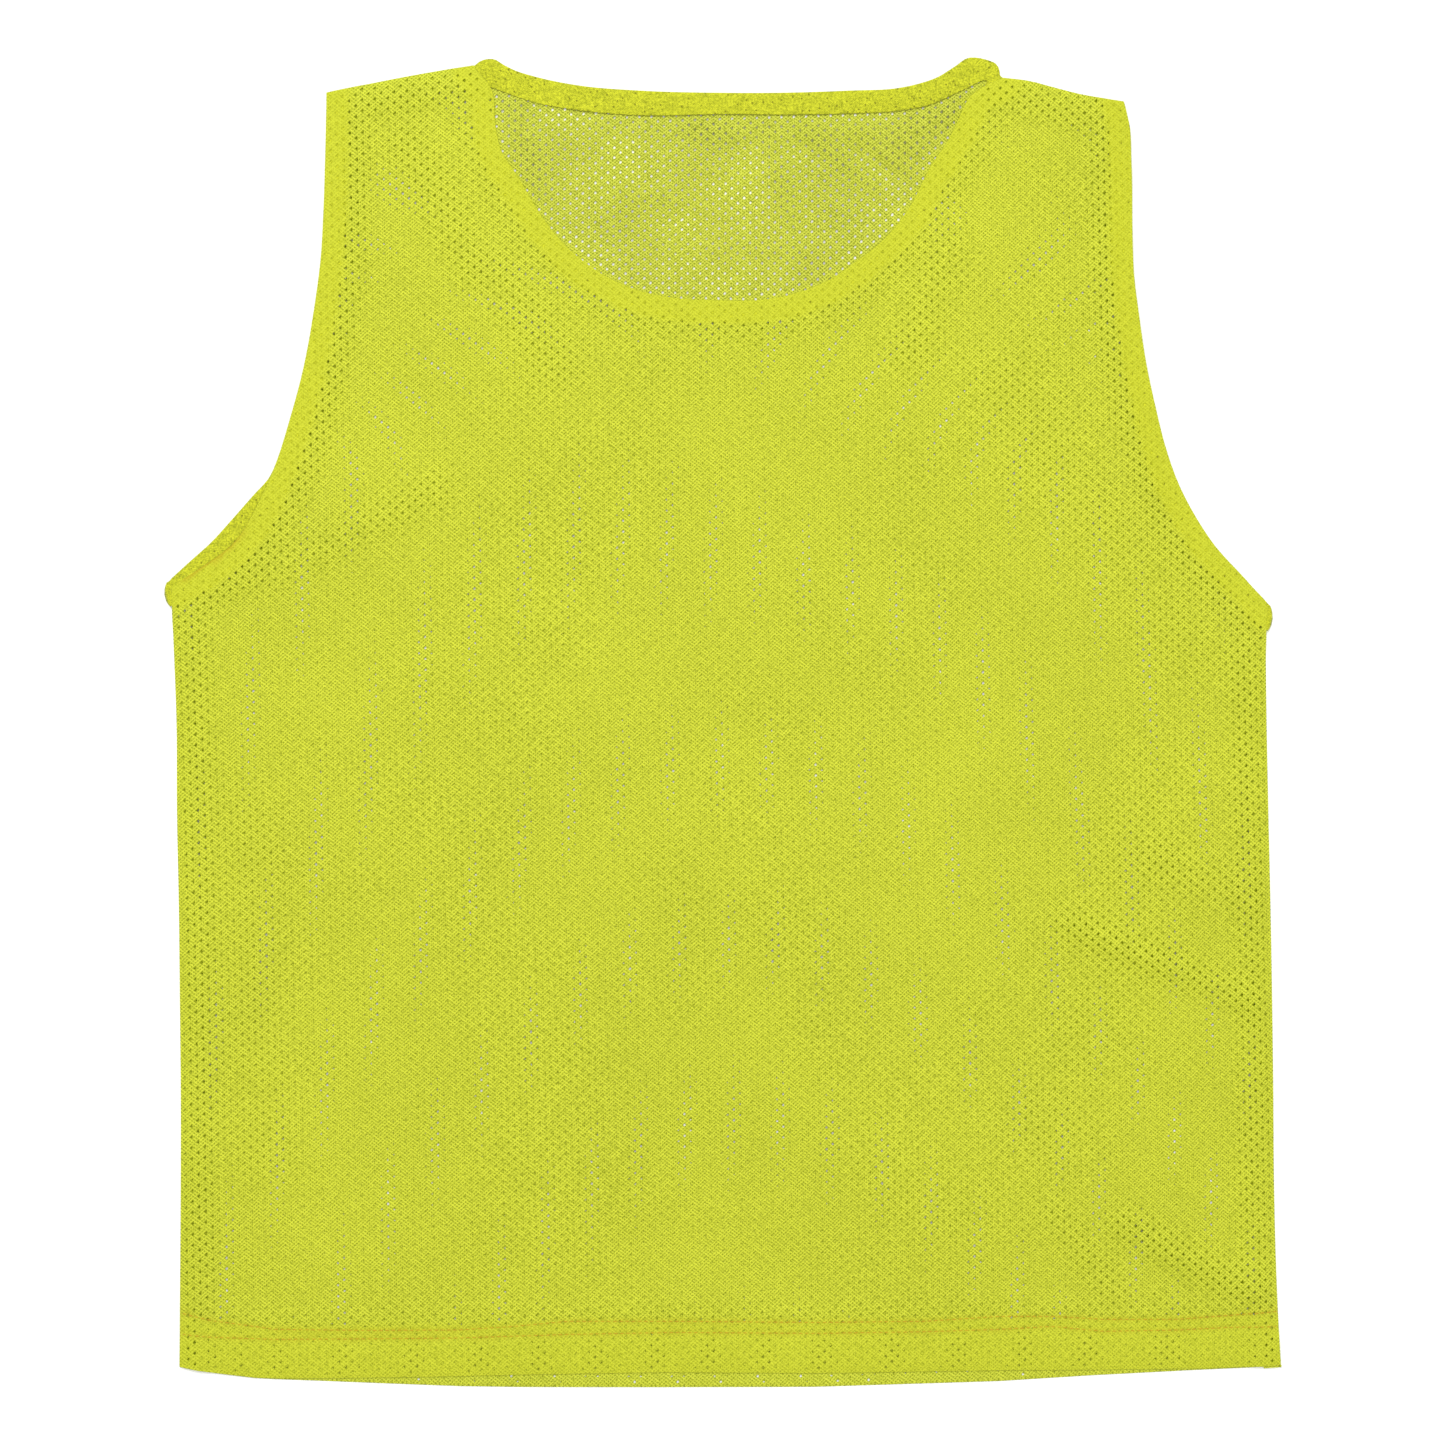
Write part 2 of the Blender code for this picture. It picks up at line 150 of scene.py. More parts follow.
# Shoulder seams, from the armhole to the neck: x, y
LEFT_SHOULDER = ((-178.2, 283.3), (-163.3, 286.4), (-145.3, 290.0), (-127.4, 293.2), (-112.0, 295.6))
RIGHT_SHOULDER = ((180.2, 279.2), (162.3, 282.3), (148.5, 285.8), (138.2, 288.5), (126.0, 290.0))

# Free edge of the front's scoop, from the left shoulder seam round to the right one: x, y
SCOOP = (
    (-110.4, 292.6),
    (-104.6, 286.0),
    (-102.2, 268.2),
    (-99.9, 257.9),
    (-91.8, 245.0),
    (-81.5, 227.9),
    (-71.1, 214.9),
    (-59.4, 205.0),
    (-37.4, 194.2),
    (-21.6, 191.0),
    (-1.4, 189.9),
    (18.9, 190.3),
    (34.6, 193.7),
    (46.8, 198.7),
    (60.3, 207.7),
    (72.9, 218.0),
    (82.8, 230.2),
    (94.0, 251.3),
    (101.6, 262.6),
    (106.4, 272.5),
    (110.2, 280.6),
    (116.5, 285.6),
    (124.2, 289.2),
)

# Upper edge of the back neck, from the left shoulder seam to the right one: x, y
BACK_NECK = (
    (-110.2, 296.6),
    (-105.0, 297.6),
    (-97.5, 294.9),
    (-87.3, 290.3),
    (-77.9, 288.1),
    (-55.8, 284.8),
    (-37.4, 283.6),
    (-1.4, 282.5),
    (27.4, 282.7),
    (58.1, 283.6),
    (79.7, 284.6),
    (93.4, 288.2),
    (105.8, 294.6),
    (113.0, 297.6),
    (120.0, 295.2),
)

# The neck tape lies turned in flat. Its back arc: inner x, inner y, outer x, outer y
NECK_TAPE_BACK = (
    (-104.0, 285.6, -103.4, 298.4),
    (-98.6, 283.6, -95.0, 293.9),
    (-87.3, 279.6, -85.0, 290.6),
    (-67.0, 275.6, -65.5, 286.6),
    (-37.4, 273.1, -37.4, 284.2),
    (0.0, 273.6, 0.0, 283.2),
    (30.6, 273.4, 30.6, 283.3),
    (58.1, 274.0, 57.0, 284.2),
    (79.7, 275.2, 77.7, 285.2),
    (92.1, 277.6, 87.6, 287.2),
    (101.4, 281.4, 96.4, 290.2),
    (110.7, 285.8, 104.8, 295.4),
)

# The nub where the tape turns over the right shoulder seam: inner x, inner y, outer x, outer y
RIGHT_NUB = (
    (116.0, 288.4, 110.8, 299.0),
    (118.0, 288.8, 118.0, 298.2),
    (118.6, 288.0, 123.4, 295.6),
    (118.4, 287.2, 124.6, 291.4),
    (117.4, 286.0, 123.6, 285.6),
    (115.6, 284.6, 121.4, 279.4),
)

# The hump where it turns over the left one, the same columns
LEFT_HUMP = (
    (-106.6, 283.6, -115.4, 283.4),
    (-106.4, 284.4, -114.8, 288.8),
    (-105.9, 285.0, -113.0, 293.6),
    (-105.2, 285.4, -108.8, 297.6),
)

# Where each armhole tape folds over a seam: outer x, outer y, inner x, inner y
LEFT_SHOULDER_FOLD = (-178.0, 281.8, -168.2, 283.8)
RIGHT_SHOULDER_FOLD = (180.0, 277.8, 170.2, 279.5)
LEFT_UNDERARM_FOLD = (-250.0, 63.0, -248.4, 52.2)
RIGHT_UNDERARM_FOLD = (245.9, 52.6, 244.8, 41.2)

# Folded edge of the hems: x, y on the back, y on the front
HEMS = (
    (-244.4, -290.0, -289.8),
    (-232.7, -292.3, -292.1),
    (-208.8, -295.2, -294.8),
    (-180.9, -296.2, -295.0),
    (-149.8, -297.4, -294.6),
    (-118.4, -298.6, -294.1),
    (-91.4, -299.0, -293.4),
    (-28.4, -299.1, -292.3),
    (42.3, -298.9, -292.7),
    (124.7, -296.3, -291.4),
    (167.8, -293.6, -291.2),
    (210.6, -291.4, -290.6),
    (251.0, -289.6, -289.2),
)

# The two needle lines of the front hem: x, y of the upper line, y of the lower line
HEM_STITCHES = (
    (-243.5, -265.6, -275.0),
    (-229.5, -269.0, -276.5),
    (-201.6, -272.9, -277.4),
    (-160.2, -273.4, -277.2),
    (-119.3, -273.2, -276.8),
    (-94.1, -271.6, -276.0),
    (-70.2, -269.3, -275.2),
    (-22.1, -269.3, -274.3),
    (42.3, -269.8, -274.7),
    (90.5, -269.3, -274.0),
    (124.7, -267.1, -272.9),
    (148.1, -267.1, -271.6),
    (171.0, -268.4, -273.8),
    (204.8, -268.4, -273.2),
    (228.2, -266.6, -272.0),
    (249.0, -264.8, -271.6),
)

# The cloth is never quite even, so its holes drift: how far, wave across, wave up, start of the wave
FRONT_DRIFT_ACROSS = ((0.55, 400.0, 74.0, 0.6), (0.4, 90.0, -150.0, 1.9), (0.2, -47.0, 66.0, 0.4))
FRONT_DRIFT_ALONG = ((0.6, 66.0, 130.0, 0.0), (0.3, 31.0, -50.0, 0.0), (0.35, 160.0, 58.0, 2.0))
BACK_DRIFT_ACROSS = ((0.4, 500.0, 58.0, 0.0), (0.35, 70.0, 120.0, 2.6))
BACK_DRIFT_ALONG = ((0.6, 60.0, -90.0, 0.0), (0.4, -120.0, 70.0, 1.2))

# Soft folds of the front: x and y of one end, x and y of the other, height, half width
FRONT_FOLDS = (
    (159.0, -92.0, 246.0, -128.0, 1.8, 7.0),
    (196.0, -62.0, 247.0, -84.0, 0.9, 9.0),
    (182.0, -226.0, 247.0, -262.0, 1.8, 8.0),
    (150.0, -222.0, 176.0, -256.0, 1.0, 8.0),
    (150.0, -190.0, 196.0, -40.0, 0.5, 24.0),
    (-208.0, 66.0, -130.0, 104.0, 1.1, 9.0),
    (206.0, 40.0, 128.0, 150.0, 0.6, 22.0),
    (-216.0, -40.0, -206.0, -190.0, 0.6, 16.0),
    (-142.0, 262.0, -112.0, 205.0, 1.2, 9.0),
    (-98.0, 200.0, -76.0, 160.0, 1.1, 12.0),
    (100.0, 214.0, 84.0, 168.0, 1.0, 12.0),
    (-60.0, 100.0, -92.0, -20.0, 0.25, 26.0),
    (-120.0, -60.0, -70.0, -220.0, 0.3, 30.0),
    (30.0, -80.0, 90.0, -215.0, 0.3, 28.0),
    (195.0, -257.0, 206.0, -266.0, 0.9, 2.6),
)

# Wrinkles of the back below its neck, the same columns
BACK_WRINKLES = (
    (-12.0, 267.0, 74.0, 265.0, 1.1, 6.5),
    (36.0, 266.0, 68.0, 240.0, 1.1, 4.0),
    (56.0, 266.0, 84.0, 247.0, 1.1, 3.4),
    (20.0, 262.0, 30.0, 226.0, 0.8, 4.5),
    (-58.0, 269.0, -20.0, 266.0, 0.5, 5.0),
    (-94.0, 280.0, -84.0, 240.0, 1.3, 7.0),
    (76.0, 258.0, 112.0, 284.0, 1.8, 8.0),
    (-46.0, 238.0, -8.0, 232.0, 0.5, 5.0),
    (-14.0, 250.0, 14.0, 244.0, 0.5, 4.0),
    (-30.0, 214.0, 34.0, 211.0, 0.6, 6.0),
)

# Painted light on the front where a tape lies behind it, and painted shade along its needle lines and in the
# left underarm's crease
OVER_TAPE_PAINTED_LIGHT = (0.68, 0.715, 0.016, 1.0)
SEWN_PAINTED_SHADE = (0.54, 0.40, 0.004, 1.0)
CREASE_PAINTED_SHADE = (0.56, 0.41, 0.003, 1.0)

# Painted shade: the back is drawn duller and greyer where it lies bare on the floor.
WHITE = (1.0, 1.0, 1.0, 1.0)
BARE_PAINTED_SHADE = (0.86, 0.865, 1.15, 1.0)

CAMERA_LENS = 85.0
CAMERA_SENSOR = 36.0
FRAME_WIDTH = 1445 * 0.45 * MM
FRAME_CENTRE = (-0.225 * MM, 0.0)


def smooth(rows, count):
    """Evenly spaced points along a soft curve through the rows."""
    points = np.array(rows, float)
    steps = np.linalg.norm(np.diff(points, axis=0), axis=1)
    knots = np.concatenate(([0.0], np.cumsum(steps)))
    slopes = np.gradient(points, knots, axis=0)
    at = np.linspace(0.0, knots[-1], count)
    i = np.clip(np.searchsorted(knots, at, side="right") - 1, 0, len(steps) - 1)
    span = steps[i][:, None]
    t = (at[:, None] - knots[i][:, None]) / span
    start = (2 * t**3 - 3 * t**2 + 1) * points[i] + (t**3 - 2 * t**2 + t) * span * slopes[i]
    end = (3 * t**2 - 2 * t**3) * points[i + 1] + (t**3 - t**2) * span * slopes[i + 1]
    return start + end


def distances(points, line):
    """How far each point is from a line of points."""
    nearest = np.full(len(points), 1e9)
    for a, b in zip(line[:-1], line[1:]):
        along = b - a
        share = np.clip((points - a) @ along / (along @ along), 0.0, 1.0)
        gap = points - a - share[:, None] * along
        nearest = np.minimum(nearest, np.hypot(gap[:, 0], gap[:, 1]))
    return nearest


def inside(points, outline):
    """Whether each point lies inside a closed outline."""
    x, y = points[:, 0], points[:, 1]
    within = np.zeros(len(points), bool)
    for (x0, y0), (x1, y1) in zip(outline, np.roll(outline, -1, axis=0)):
        spans = (y0 > y) != (y1 > y)
        reach = x0 + (y - y0) / ((y1 - y0) or 1e-9) * (x1 - x0)
        within ^= spans & (x < reach)
    return within


def outward_at(points, outline):
    """Unit direction out of a closed outline, at the part of it nearest to each point."""
    nearest = np.full(len(points), 1e9)
    outward = np.zeros((len(points), 2))
    for a, b in zip(outline, np.roll(outline, -1, axis=0)):
        along = b - a
        share = np.clip((points - a) @ along / max(along @ along, 1e-9), 0.0, 1.0)
        gap = points - a - share[:, None] * along
        far = np.hypot(gap[:, 0], gap[:, 1])
        closer = far < nearest
        nearest[closer] = far[closer]
        outward[closer] = np.array((-along[1], along[0])) / max(np.linalg.norm(along), 1e-9)
    return outward


def fall(share):
    """From 1 at share 0 down to 0 at share 1, level at both ends."""
    return 0.5 + 0.5 * np.cos(np.pi * np.clip(share, 0.0, 1.0))


def rise(share):
    return 1.0 - fall(share)


def ridges(points, rows):
    """Height of soft folds, each a ridge along a short line that fades at its ends."""
    height = np.zeros(len(points))
    for x0, y0, x1, y1, top, half_width in rows:
        line = np.array(((x0, y0), (x1, y1)))
        height += top * np.exp(-((distances(points, line) / half_width) ** 2))
    return height


def hem_height(x, column):
    table = np.array(HEMS)
    return np.interp(x, table[:, 0], table[:, column])


def stitch_height(x, column):
    table = np.array(HEM_STITCHES)
    return np.interp(x, table[:, 0], table[:, column])


# The lines that the pieces share
left_side = smooth([(left, y) for y, left, right in SIDES], 40)
right_side = smooth([(right, y) for y, left, right in SIDES], 40)
left_arm_front = smooth(LEFT_ARM_FRONT, 46)
left_arm_back = smooth(LEFT_ARM_BACK, 46)
right_arm = smooth(RIGHT_ARM, 48)
left_shoulder = smooth(LEFT_SHOULDER, 12)
right_shoulder = smooth(RIGHT_SHOULDER, 12)
scoop = smooth(SCOOP, 90)
back_neck = smooth(BACK_NECK, 60)


def hem_line(column):
    """The folded edge of a hem, from right to left."""
    x = np.linspace(251.0, -244.4, 60)
    return np.column_stack((x, hem_height(x, column)))


def panel_outline(left_arm, neck, column):
    """Round a panel clockwise: up the left side, over the shoulders and neck, down and along the hem."""
    parts = (
        left_side,
        left_arm[::-1],
        left_shoulder[1:],
        neck,
        right_shoulder[::-1],
        right_arm[1:],
        right_side[::-1],
        hem_line(column),
    )
    outline = np.vstack(parts)
    apart = np.linalg.norm(outline - np.roll(outline, 1, axis=0), axis=1)
    return outline[apart > 0.4]


def shrunk(outline, by):
    """The outline moved in."""
    ahead = np.roll(outline, -1, axis=0) - np.roll(outline, 1, axis=0)
    ahead /= np.linalg.norm(ahead, axis=1)[:, None]
    return outline - by * np.column_stack((-ahead[:, 1], ahead[:, 0]))


front_outline = panel_outline(left_arm_front, scoop, 2)
back_outline = panel_outline(left_arm_back, back_neck, 1)


def drift(x, y, rows):
    return sum(far * np.sin(x / wave_x + y / wave_y + start) for far, wave_x, wave_y, start in rows)


def front_cloth(points):
    """Where a point of the front lies in its own cloth: the rows of holes climb to the right, and drift."""
    x, y = points[:, 0], points[:, 1]
    across = 1.004 * x + 0.000125 * x**2 + 0.024 * y + drift(x, y, FRONT_DRIFT_ACROSS)
    along = y - 0.094 * x + drift(x, y, FRONT_DRIFT_ALONG)
    return np.column_stack((across, along))


def back_cloth(points):
    """The same for the back, whose rows fall to the right, but run level below the neck."""
    x, y = points[:, 0], points[:, 1]
    across = 0.99 * x - 0.002 * y + drift(x, y, BACK_DRIFT_ACROSS)
    slope = -0.138 + 0.165 * rise((y - 110.0) / 130.0)
    stretch = 0.1 * np.maximum(y - 185.0, 0.0)
    along = y + stretch - slope * x + drift(x, y, BACK_DRIFT_ALONG)
    return np.column_stack((across, along))


def plan_of(cloth, cloth_of):
    """Where points of the cloth lie in plan."""
    points = cloth.copy()
    for _ in range(40):
        points += 0.9 * (cloth - cloth_of(points))
    return points


def front_height(points):
    """The front lies on the back, the tapes, the hems and the allowances, and comes down softly between."""
    x, y = points[:, 0], points[:, 1]
    arm_gap = np.minimum(distances(points, left_arm_front), distances(points, right_arm))
    neck_gap = distances(points, scoop)
    seam_gap = distances(points, left_side)
    for seam in (right_side, left_shoulder, right_shoulder):
        seam_gap = np.minimum(seam_gap, distances(points, seam))
    above_hem = y - hem_height(x, 2)
    past_arm_tape = arm_gap - TAPE_WIDTH
    past_neck_tape = neck_gap - TAPE_WIDTH
    past_hem = above_hem - HEM_DEPTH
    over_arm = (FRONT_ON_ARM_TAPES - FRONT_NET) * fall((past_arm_tape - 1.5) / 13.0)
    over_neck = (FRONT_ON_NECK_TAPE - FRONT_NET) * fall((past_neck_tape - 1.5) / 13.0)
    over_hem = (FRONT_ON_HEMS - FRONT_NET) * fall((past_hem - 2.0) / 12.0)
    tight = 1.0 - np.clip(seam_gap / ALLOWANCE, 0.0, 1.0)
    over_seam = ROLL * (1.0 - tight**2.5) * fall((seam_gap - ALLOWANCE) / (ROLL_END - ALLOWANCE))
    height = FRONT_NET + np.max((over_arm, over_neck, over_hem, over_seam), axis=0)
    # The hem puffs between its stitches and its fold, and the stitches sink into it.
    below = stitch_height(x, 2) - y
    height += 0.4 * rise(below / 5.0) * rise(above_hem / 4.0)
    for column in (1, 2):
        height -= 0.3 * np.exp(-(((y - stitch_height(x, column)) / 1.2) ** 2))
    # The inner edge of each tape shows through as a low ridge.
    past_tapes = np.minimum(past_arm_tape, past_neck_tape)
    height += 0.3 * np.exp(-((past_tapes / 1.2) ** 2))
    # Folds and small waves run only where the front lies free.
    free = rise(past_tapes / 16.0) * rise(past_hem / 12.0) * rise(seam_gap / 9.0)
    waves = 0.10 * np.sin(x / 11.0 + 2.0 * np.sin(y / 37.0)) * np.sin(y / 16.0 + 1.5 * np.sin(x / 41.0))
    waves += 0.10 * np.sin(x / 29.0 - y / 47.0) + 0.06 * np.sin(y / 7.5 + x / 21.0)
    return height + free * (ridges(points, FRONT_FOLDS) + np.maximum(waves, -0.1))


def back_height(points):
    """The back lies flat, but for wrinkles below the neck."""
    x, y = points[:, 0], points[:, 1]
    free = rise((distances(points, back_neck) - TAPE_WIDTH - 0.3) / 2.4)
    free *= inside(points, scoop) * rise((distances(points, scoop) - 0.3) / 2.4)
    return BACK_NET + free * ridges(points, BACK_WRINKLES) + 0.04 * np.sin(x / 13.0) * np.sin(y / 17.0)


# Where the front gets painted light, and a softer pattern, over a tape or a hem.
def over_tape(points):
    """1 where a tape lies behind the front and 0.6 on the hem, fading to 0 beyond them."""
    gap = np.min([distances(points, line) for line in (left_arm_front, right_arm, scoop)], axis=0)
    above_hem = points[:, 1] - hem_height(points[:, 0], 2)
    return np.maximum(fall((gap - TAPE_WIDTH + 1.0) / 3.0), 0.6 * fall((above_hem - HEM_DEPTH + 1.0) / 3.0))


def crease_shade(points):
    """Where painted shade goes: 1 at the front's edge where it lies in the crease of the left underarm,
    fading to 0 beyond it.
    """
    x, y = points[:, 0], points[:, 1]
    near = fall(distances(points, left_arm_front) / 1.4)
    return near * rise((-x - 211.0) / 9.0) * rise((x + 246.0) / 6.0)


def stitch_groove_shade(points):
    """Where painted shade goes in the grooves of the front hem's needle lines: 1 along them, fading to 0
    beside them.
    """
    x, y = points[:, 0], points[:, 1]
    lines = [np.exp(-(((y - stitch_height(x, column)) / 0.9) ** 2)) for column in (1, 2)]
    return np.max(lines, axis=0)


def bare(points):
    """1 on the back where the scoop leaves it uncovered; it sets painted shade there and a stronger pattern.
    """
    return inside(points, scoop) * rise(distances(points, scoop) / 2.0)


def trim(mesh, outline):
    """Cuts the net clean along an outline and clears what lies outside it.

    Each stretch of the outline cuts only the faces within its reach, which is one face wide."""
    reach = 3.4
    faces = list(mesh.faces)
    centres = np.array([f.calc_center_median()[:2] for f in faces])
    close = distances(centres, np.vstack((outline, outline[:1]))) < reach + 1.0
    near = {f: c for f, c, is_close in zip(faces, centres.tolist(), close) if is_close}
    for (x0, y0), (x1, y1) in zip(outline.tolist(), np.roll(outline, -1, axis=0).tolist()):
        middle_x, middle_y = (x0 + x1) / 2, (y0 + y1) / 2
        limit = math.hypot(x1 - x0, y1 - y0) / 2 + reach
        chosen = [
            f for f, (x, y) in near.items() if abs(x - middle_x) < limit and abs(y - middle_y) < limit
        ]
        around = set(chosen)
        for face in chosen:
            around.update(face.edges)
            around.update(face.verts)
            del near[face]
        cut = bmesh.ops.bisect_plane(
            mesh,
            geom=list(around),
            dist=0.002,
            plane_co=(x0, y0, 0.0),
            plane_no=(y0 - y1, x1 - x0, 0.0),
        )
        for item in cut["geom"]:
            if isinstance(item, bmesh.types.BMFace):
                near[item] = tuple(item.calc_center_median()[:2])
    faces = list(mesh.faces)
    centres = np.array([f.calc_center_median()[:2] for f in faces])
    outside = [f for f, is_inside in zip(faces, inside(centres, outline)) if not is_inside]
    bmesh.ops.delete(mesh, geom=outside, context="FACES")


def punch(mesh, crossings, outline, hole, seed):
    """Opens an oval hole at each crossing of the net that is clear of the outline."""
    crossings = [
        v
        for v in crossings
        if v.is_valid and len(v.link_edges) == 4 and min(e.calc_length() for e in v.link_edges) > 1.1
    ]
    places = np.array([v.co[:2] for v in crossings])
    clear = distances(places, np.vstack((outline, outline[:1]))) > HOLE_CLEARANCE
    crossings = [v for v, is_clear in zip(crossings, clear) if is_clear]
    cut = bmesh.ops.bevel(
        mesh,
        geom=crossings,
        offset=hole[0],
        offset_type="OFFSET",
        segments=1,
        profile=0.5,
        affect="VERTICES",
        material=-1,
        clamp_overlap=False,
    )
    holes = cut["faces"]
    rims = {edge for face in holes for edge in face.edges}
    bmesh.ops.bisect_edges(mesh, edges=list(rims), cuts=1)
    chance = np.random.default_rng(seed)
    for face in holes:
        centre = face.calc_center_median()
        size = chance.normal(1.0, 0.05)
        lean = chance.normal(0.1, 0.12)
        for corner in face.verts:
            angle = math.atan2(corner.co.y - centre.y, corner.co.x - centre.x)
            wide = size * hole[0] * math.cos(angle)
            tall = size * hole[1] * math.sin(angle)
            corner.co.x = centre.x + wide + lean * tall
            corner.co.y = centre.y + tall
    bmesh.ops.delete(mesh, geom=holes, context="FACES_ONLY")


def places_of(vertices):
    return np.array([v.co[:] for v in vertices])


def turn_edge(mesh, rim, outline, depth_at, turn):
    """Turns the cut edge down in a small round fold."""
    for out, down in turn:
        grown = bmesh.ops.extrude_edge_only(mesh, edges=rim)["geom"]
        vertices = [g for g in grown if isinstance(g, bmesh.types.BMVert)]
        rim = [g for g in grown if isinstance(g, bmesh.types.BMEdge)]
        places = places_of(vertices)
        moved = places[:, :2] + out * EDGE * outward_at(places[:, :2], outline)
        depth = depth_at(places[:, :2]) * down
        for vertex, (x, y), drop in zip(vertices, moved, depth):
            vertex.co = (x, y, vertex.co.z - drop)


def net(name, cloth_of, pitch, outline, height_at, depth_at, seed, turn=SHORT_TURN, marks=()):
    """A sheet of net: a lozenge grid laid in its cloth, trimmed, punched, laid down and turned at its edges.

    Its size of 250 squares covers the largest panel, and what lies outside is cleared."""
    mesh = bmesh.new()
    count = 250
    bmesh.ops.create_grid(mesh, x_segments=count, y_segments=count, size=count / 2)
    steps = np.round(places_of(mesh.verts)[:, :2] + count / 2) - count / 2
    middle = cloth_of((outline.min(0) + outline.max(0))[None, :] / 2)
    start = np.round(middle / pitch / 2) * 2
    crossing = np.column_stack((steps.sum(1), steps[:, 0] - steps[:, 1])) + start
    cloth = crossing * pitch
    box = cloth_of(outline)
    wanted = np.all((cloth > box.min(0) - 9.0) & (cloth < box.max(0) + 9.0), axis=1)
    vertices = list(mesh.verts)
    places = np.zeros((len(vertices), 2))
    places[wanted] = plan_of(cloth[wanted], cloth_of)
    closed = np.vstack((outline, outline[:1]))
    wanted[wanted] = inside(places[wanted], outline) | (distances(places[wanted], closed) < 7.0)
    for vertex, (x, y) in zip(vertices, places):
        vertex.co = (x, y, 0.0)
    unwanted = [v for v, is_wanted in zip(vertices, wanted) if not is_wanted]
    bmesh.ops.delete(mesh, geom=unwanted, context="VERTS")
    crossings = [v for v, is_wanted in zip(vertices, wanted) if is_wanted]
    cut_line = shrunk(outline, EDGE)
    trim(mesh, cut_line)
    rim = [e for e in mesh.edges if e.is_boundary]
    punch(mesh, crossings, cut_line, HOLE, seed)
    vertices = list(mesh.verts)
    for vertex, height in zip(vertices, height_at(places_of(vertices)[:, :2])):
        vertex.co.z = height
    turn_edge(mesh, rim, outline, depth_at, turn)
    bmesh.ops.recalc_face_normals(mesh, faces=mesh.faces)
    if sum(f.normal.z for f in mesh.faces) < 0:
        bmesh.ops.reverse_faces(mesh, faces=mesh.faces)
    return add_piece(name, mesh, lambda points: cloth_of(points[:, :2]), marks)


def add_piece(name, mesh, cloth_at, marks=()):
    """Makes a bmesh in millimetres a piece in metres, with its cloth coordinates as a UV map.

    Each of marks is a name and a function of the points in plan, which becomes an attribute."""
    data = bpy.data.meshes.new(name)
    bmesh.ops.scale(mesh, vec=(MM, MM, MM), verts=mesh.verts)
    mesh.to_mesh(data)
    mesh.free()
    data.shade_smooth()
    places = np.zeros(len(data.vertices) * 3, np.float32)
    data.vertices.foreach_get("co", places)
    corners = np.zeros(len(data.loops), np.int32)
    data.loops.foreach_get("vertex_index", corners)
    places = places.reshape(-1, 3) / MM
    cloth = cloth_at(places).astype(np.float32)
    data.uv_layers.new(name="cloth").data.foreach_set("uv", cloth[corners].ravel())
    for mark, share_at in marks:
        shares = share_at(places[:, :2]).astype(np.float32)
        data.attributes.new(mark, "FLOAT", "POINT").data.foreach_set("value", shares)
    piece = bpy.data.objects.new(name, data)
    bpy.context.scene.collection.objects.link(piece)
    return piece


def front_depth(points):
    """How far the front's edge is turned down: onto its tapes, its hem, or the back at the seams."""
    height = front_height(points)
    gap = np.min([distances(points, line) for line in (scoop, left_arm_front, right_arm)], axis=0)
    seam = np.min(
        [distances(points, line) for line in (left_side, right_side, left_shoulder, right_shoulder)], axis=0
    )
    free = np.where(gap < seam, 0.6, height - BACK_NET - 0.1)
    return np.where(points[:, 1] < hem_height(points[:, 0], 2) + 1.5, HEM_LAYER + 0.1, free)


def level(height):
    """The same height, or depth, at every point."""
    return lambda points: np.full(len(points), height)


front_net = net(
    "front_net",
    front_cloth,
    FRONT_PITCH,
    front_outline,
    front_height,
    front_depth,
    11,
    ROUND_TURN,
    (("over_tape", over_tape), ("crease_shade", crease_shade), ("stitch_groove_shade", stitch_groove_shade)),
)
back_net = net(
    "back_net",
    back_cloth,
    BACK_PITCH,
    back_outline,
    back_height,
    level(0.38),
    12,
    marks=(("bare", bare),),
)


def hem_strip(column, top):
    """Outline of the turned part of a hem, clear of the sides."""
    low = hem_line(column)[1:-1]
    low[:, 1] += 0.8
    high = low[::-1].copy()
    high[:, 1] += top - 0.8
    return np.vstack((low, high))


def turned(cloth_of, column):
    """Cloth coordinates beyond a hem's fold, counted the other way along the cloth."""

    def mirrored(points):
        folded = points.copy()
        folded[:, 1] = 2.0 * hem_height(points[:, 0], column) - points[:, 1]
        return cloth_of(folded) * (1.0, -1.0)

    return mirrored


front_hem = net(
    "front_hem_turn",
    turned(front_cloth, 2),
    FRONT_PITCH,
    hem_strip(2, HEM_DEPTH),
    lambda points: front_height(points) - HEM_LAYER,
    level(0.1),
    13,
)
back_hem = net(
    "back_hem_turn",
    turned(back_cloth, 1),
    BACK_PITCH,
    hem_strip(1, HEM_DEPTH),
    level(BACK_HEM),
    level(0.1),
    14,
)


def allowance_strip(name, line, inward):
    """A seam allowance: a flat strip of cloth beside a seam, with a slightly wavy overlocked edge."""
    low, high = ALLOWANCE_HEIGHTS
    spans = 89
    rows = smooth(line, spans + 1)
    mesh = bmesh.new()
    bmesh.ops.create_grid(mesh, x_segments=spans, y_segments=6, size=0.5)
    ahead = np.gradient(rows, axis=0)
    ahead /= np.linalg.norm(ahead, axis=1)[:, None]
    square = np.column_stack((-ahead[:, 1], ahead[:, 0])) * inward
    for vertex in mesh.verts:
        i = round((vertex.co.x + 0.5) * spans)
        share = vertex.co.y + 0.5
        reach = ALLOWANCE_START + (ALLOWANCE - 1.0 + 0.4 * math.sin(i * 1.1)) * share
        x, y = rows[i] + square[i] * reach
        vertex.co = (x, y, low + (high - low) * share + 0.08 * math.sin(i * 0.9 + share * 3.0))
    if mesh.faces[:][0].normal.z < 0:
        bmesh.ops.reverse_faces(mesh, faces=mesh.faces)
    return add_piece(name, mesh, lambda points: points[:, :2])


allowances = [
    allowance_strip("side_allowance_left", left_side, -1.0),
    allowance_strip("side_allowance_right", right_side, 1.0),
    allowance_strip("shoulder_allowance_left", left_shoulder[1:-1], -1.0),
    allowance_strip("shoulder_allowance_right", right_shoulder[1:-1], 1.0),
]


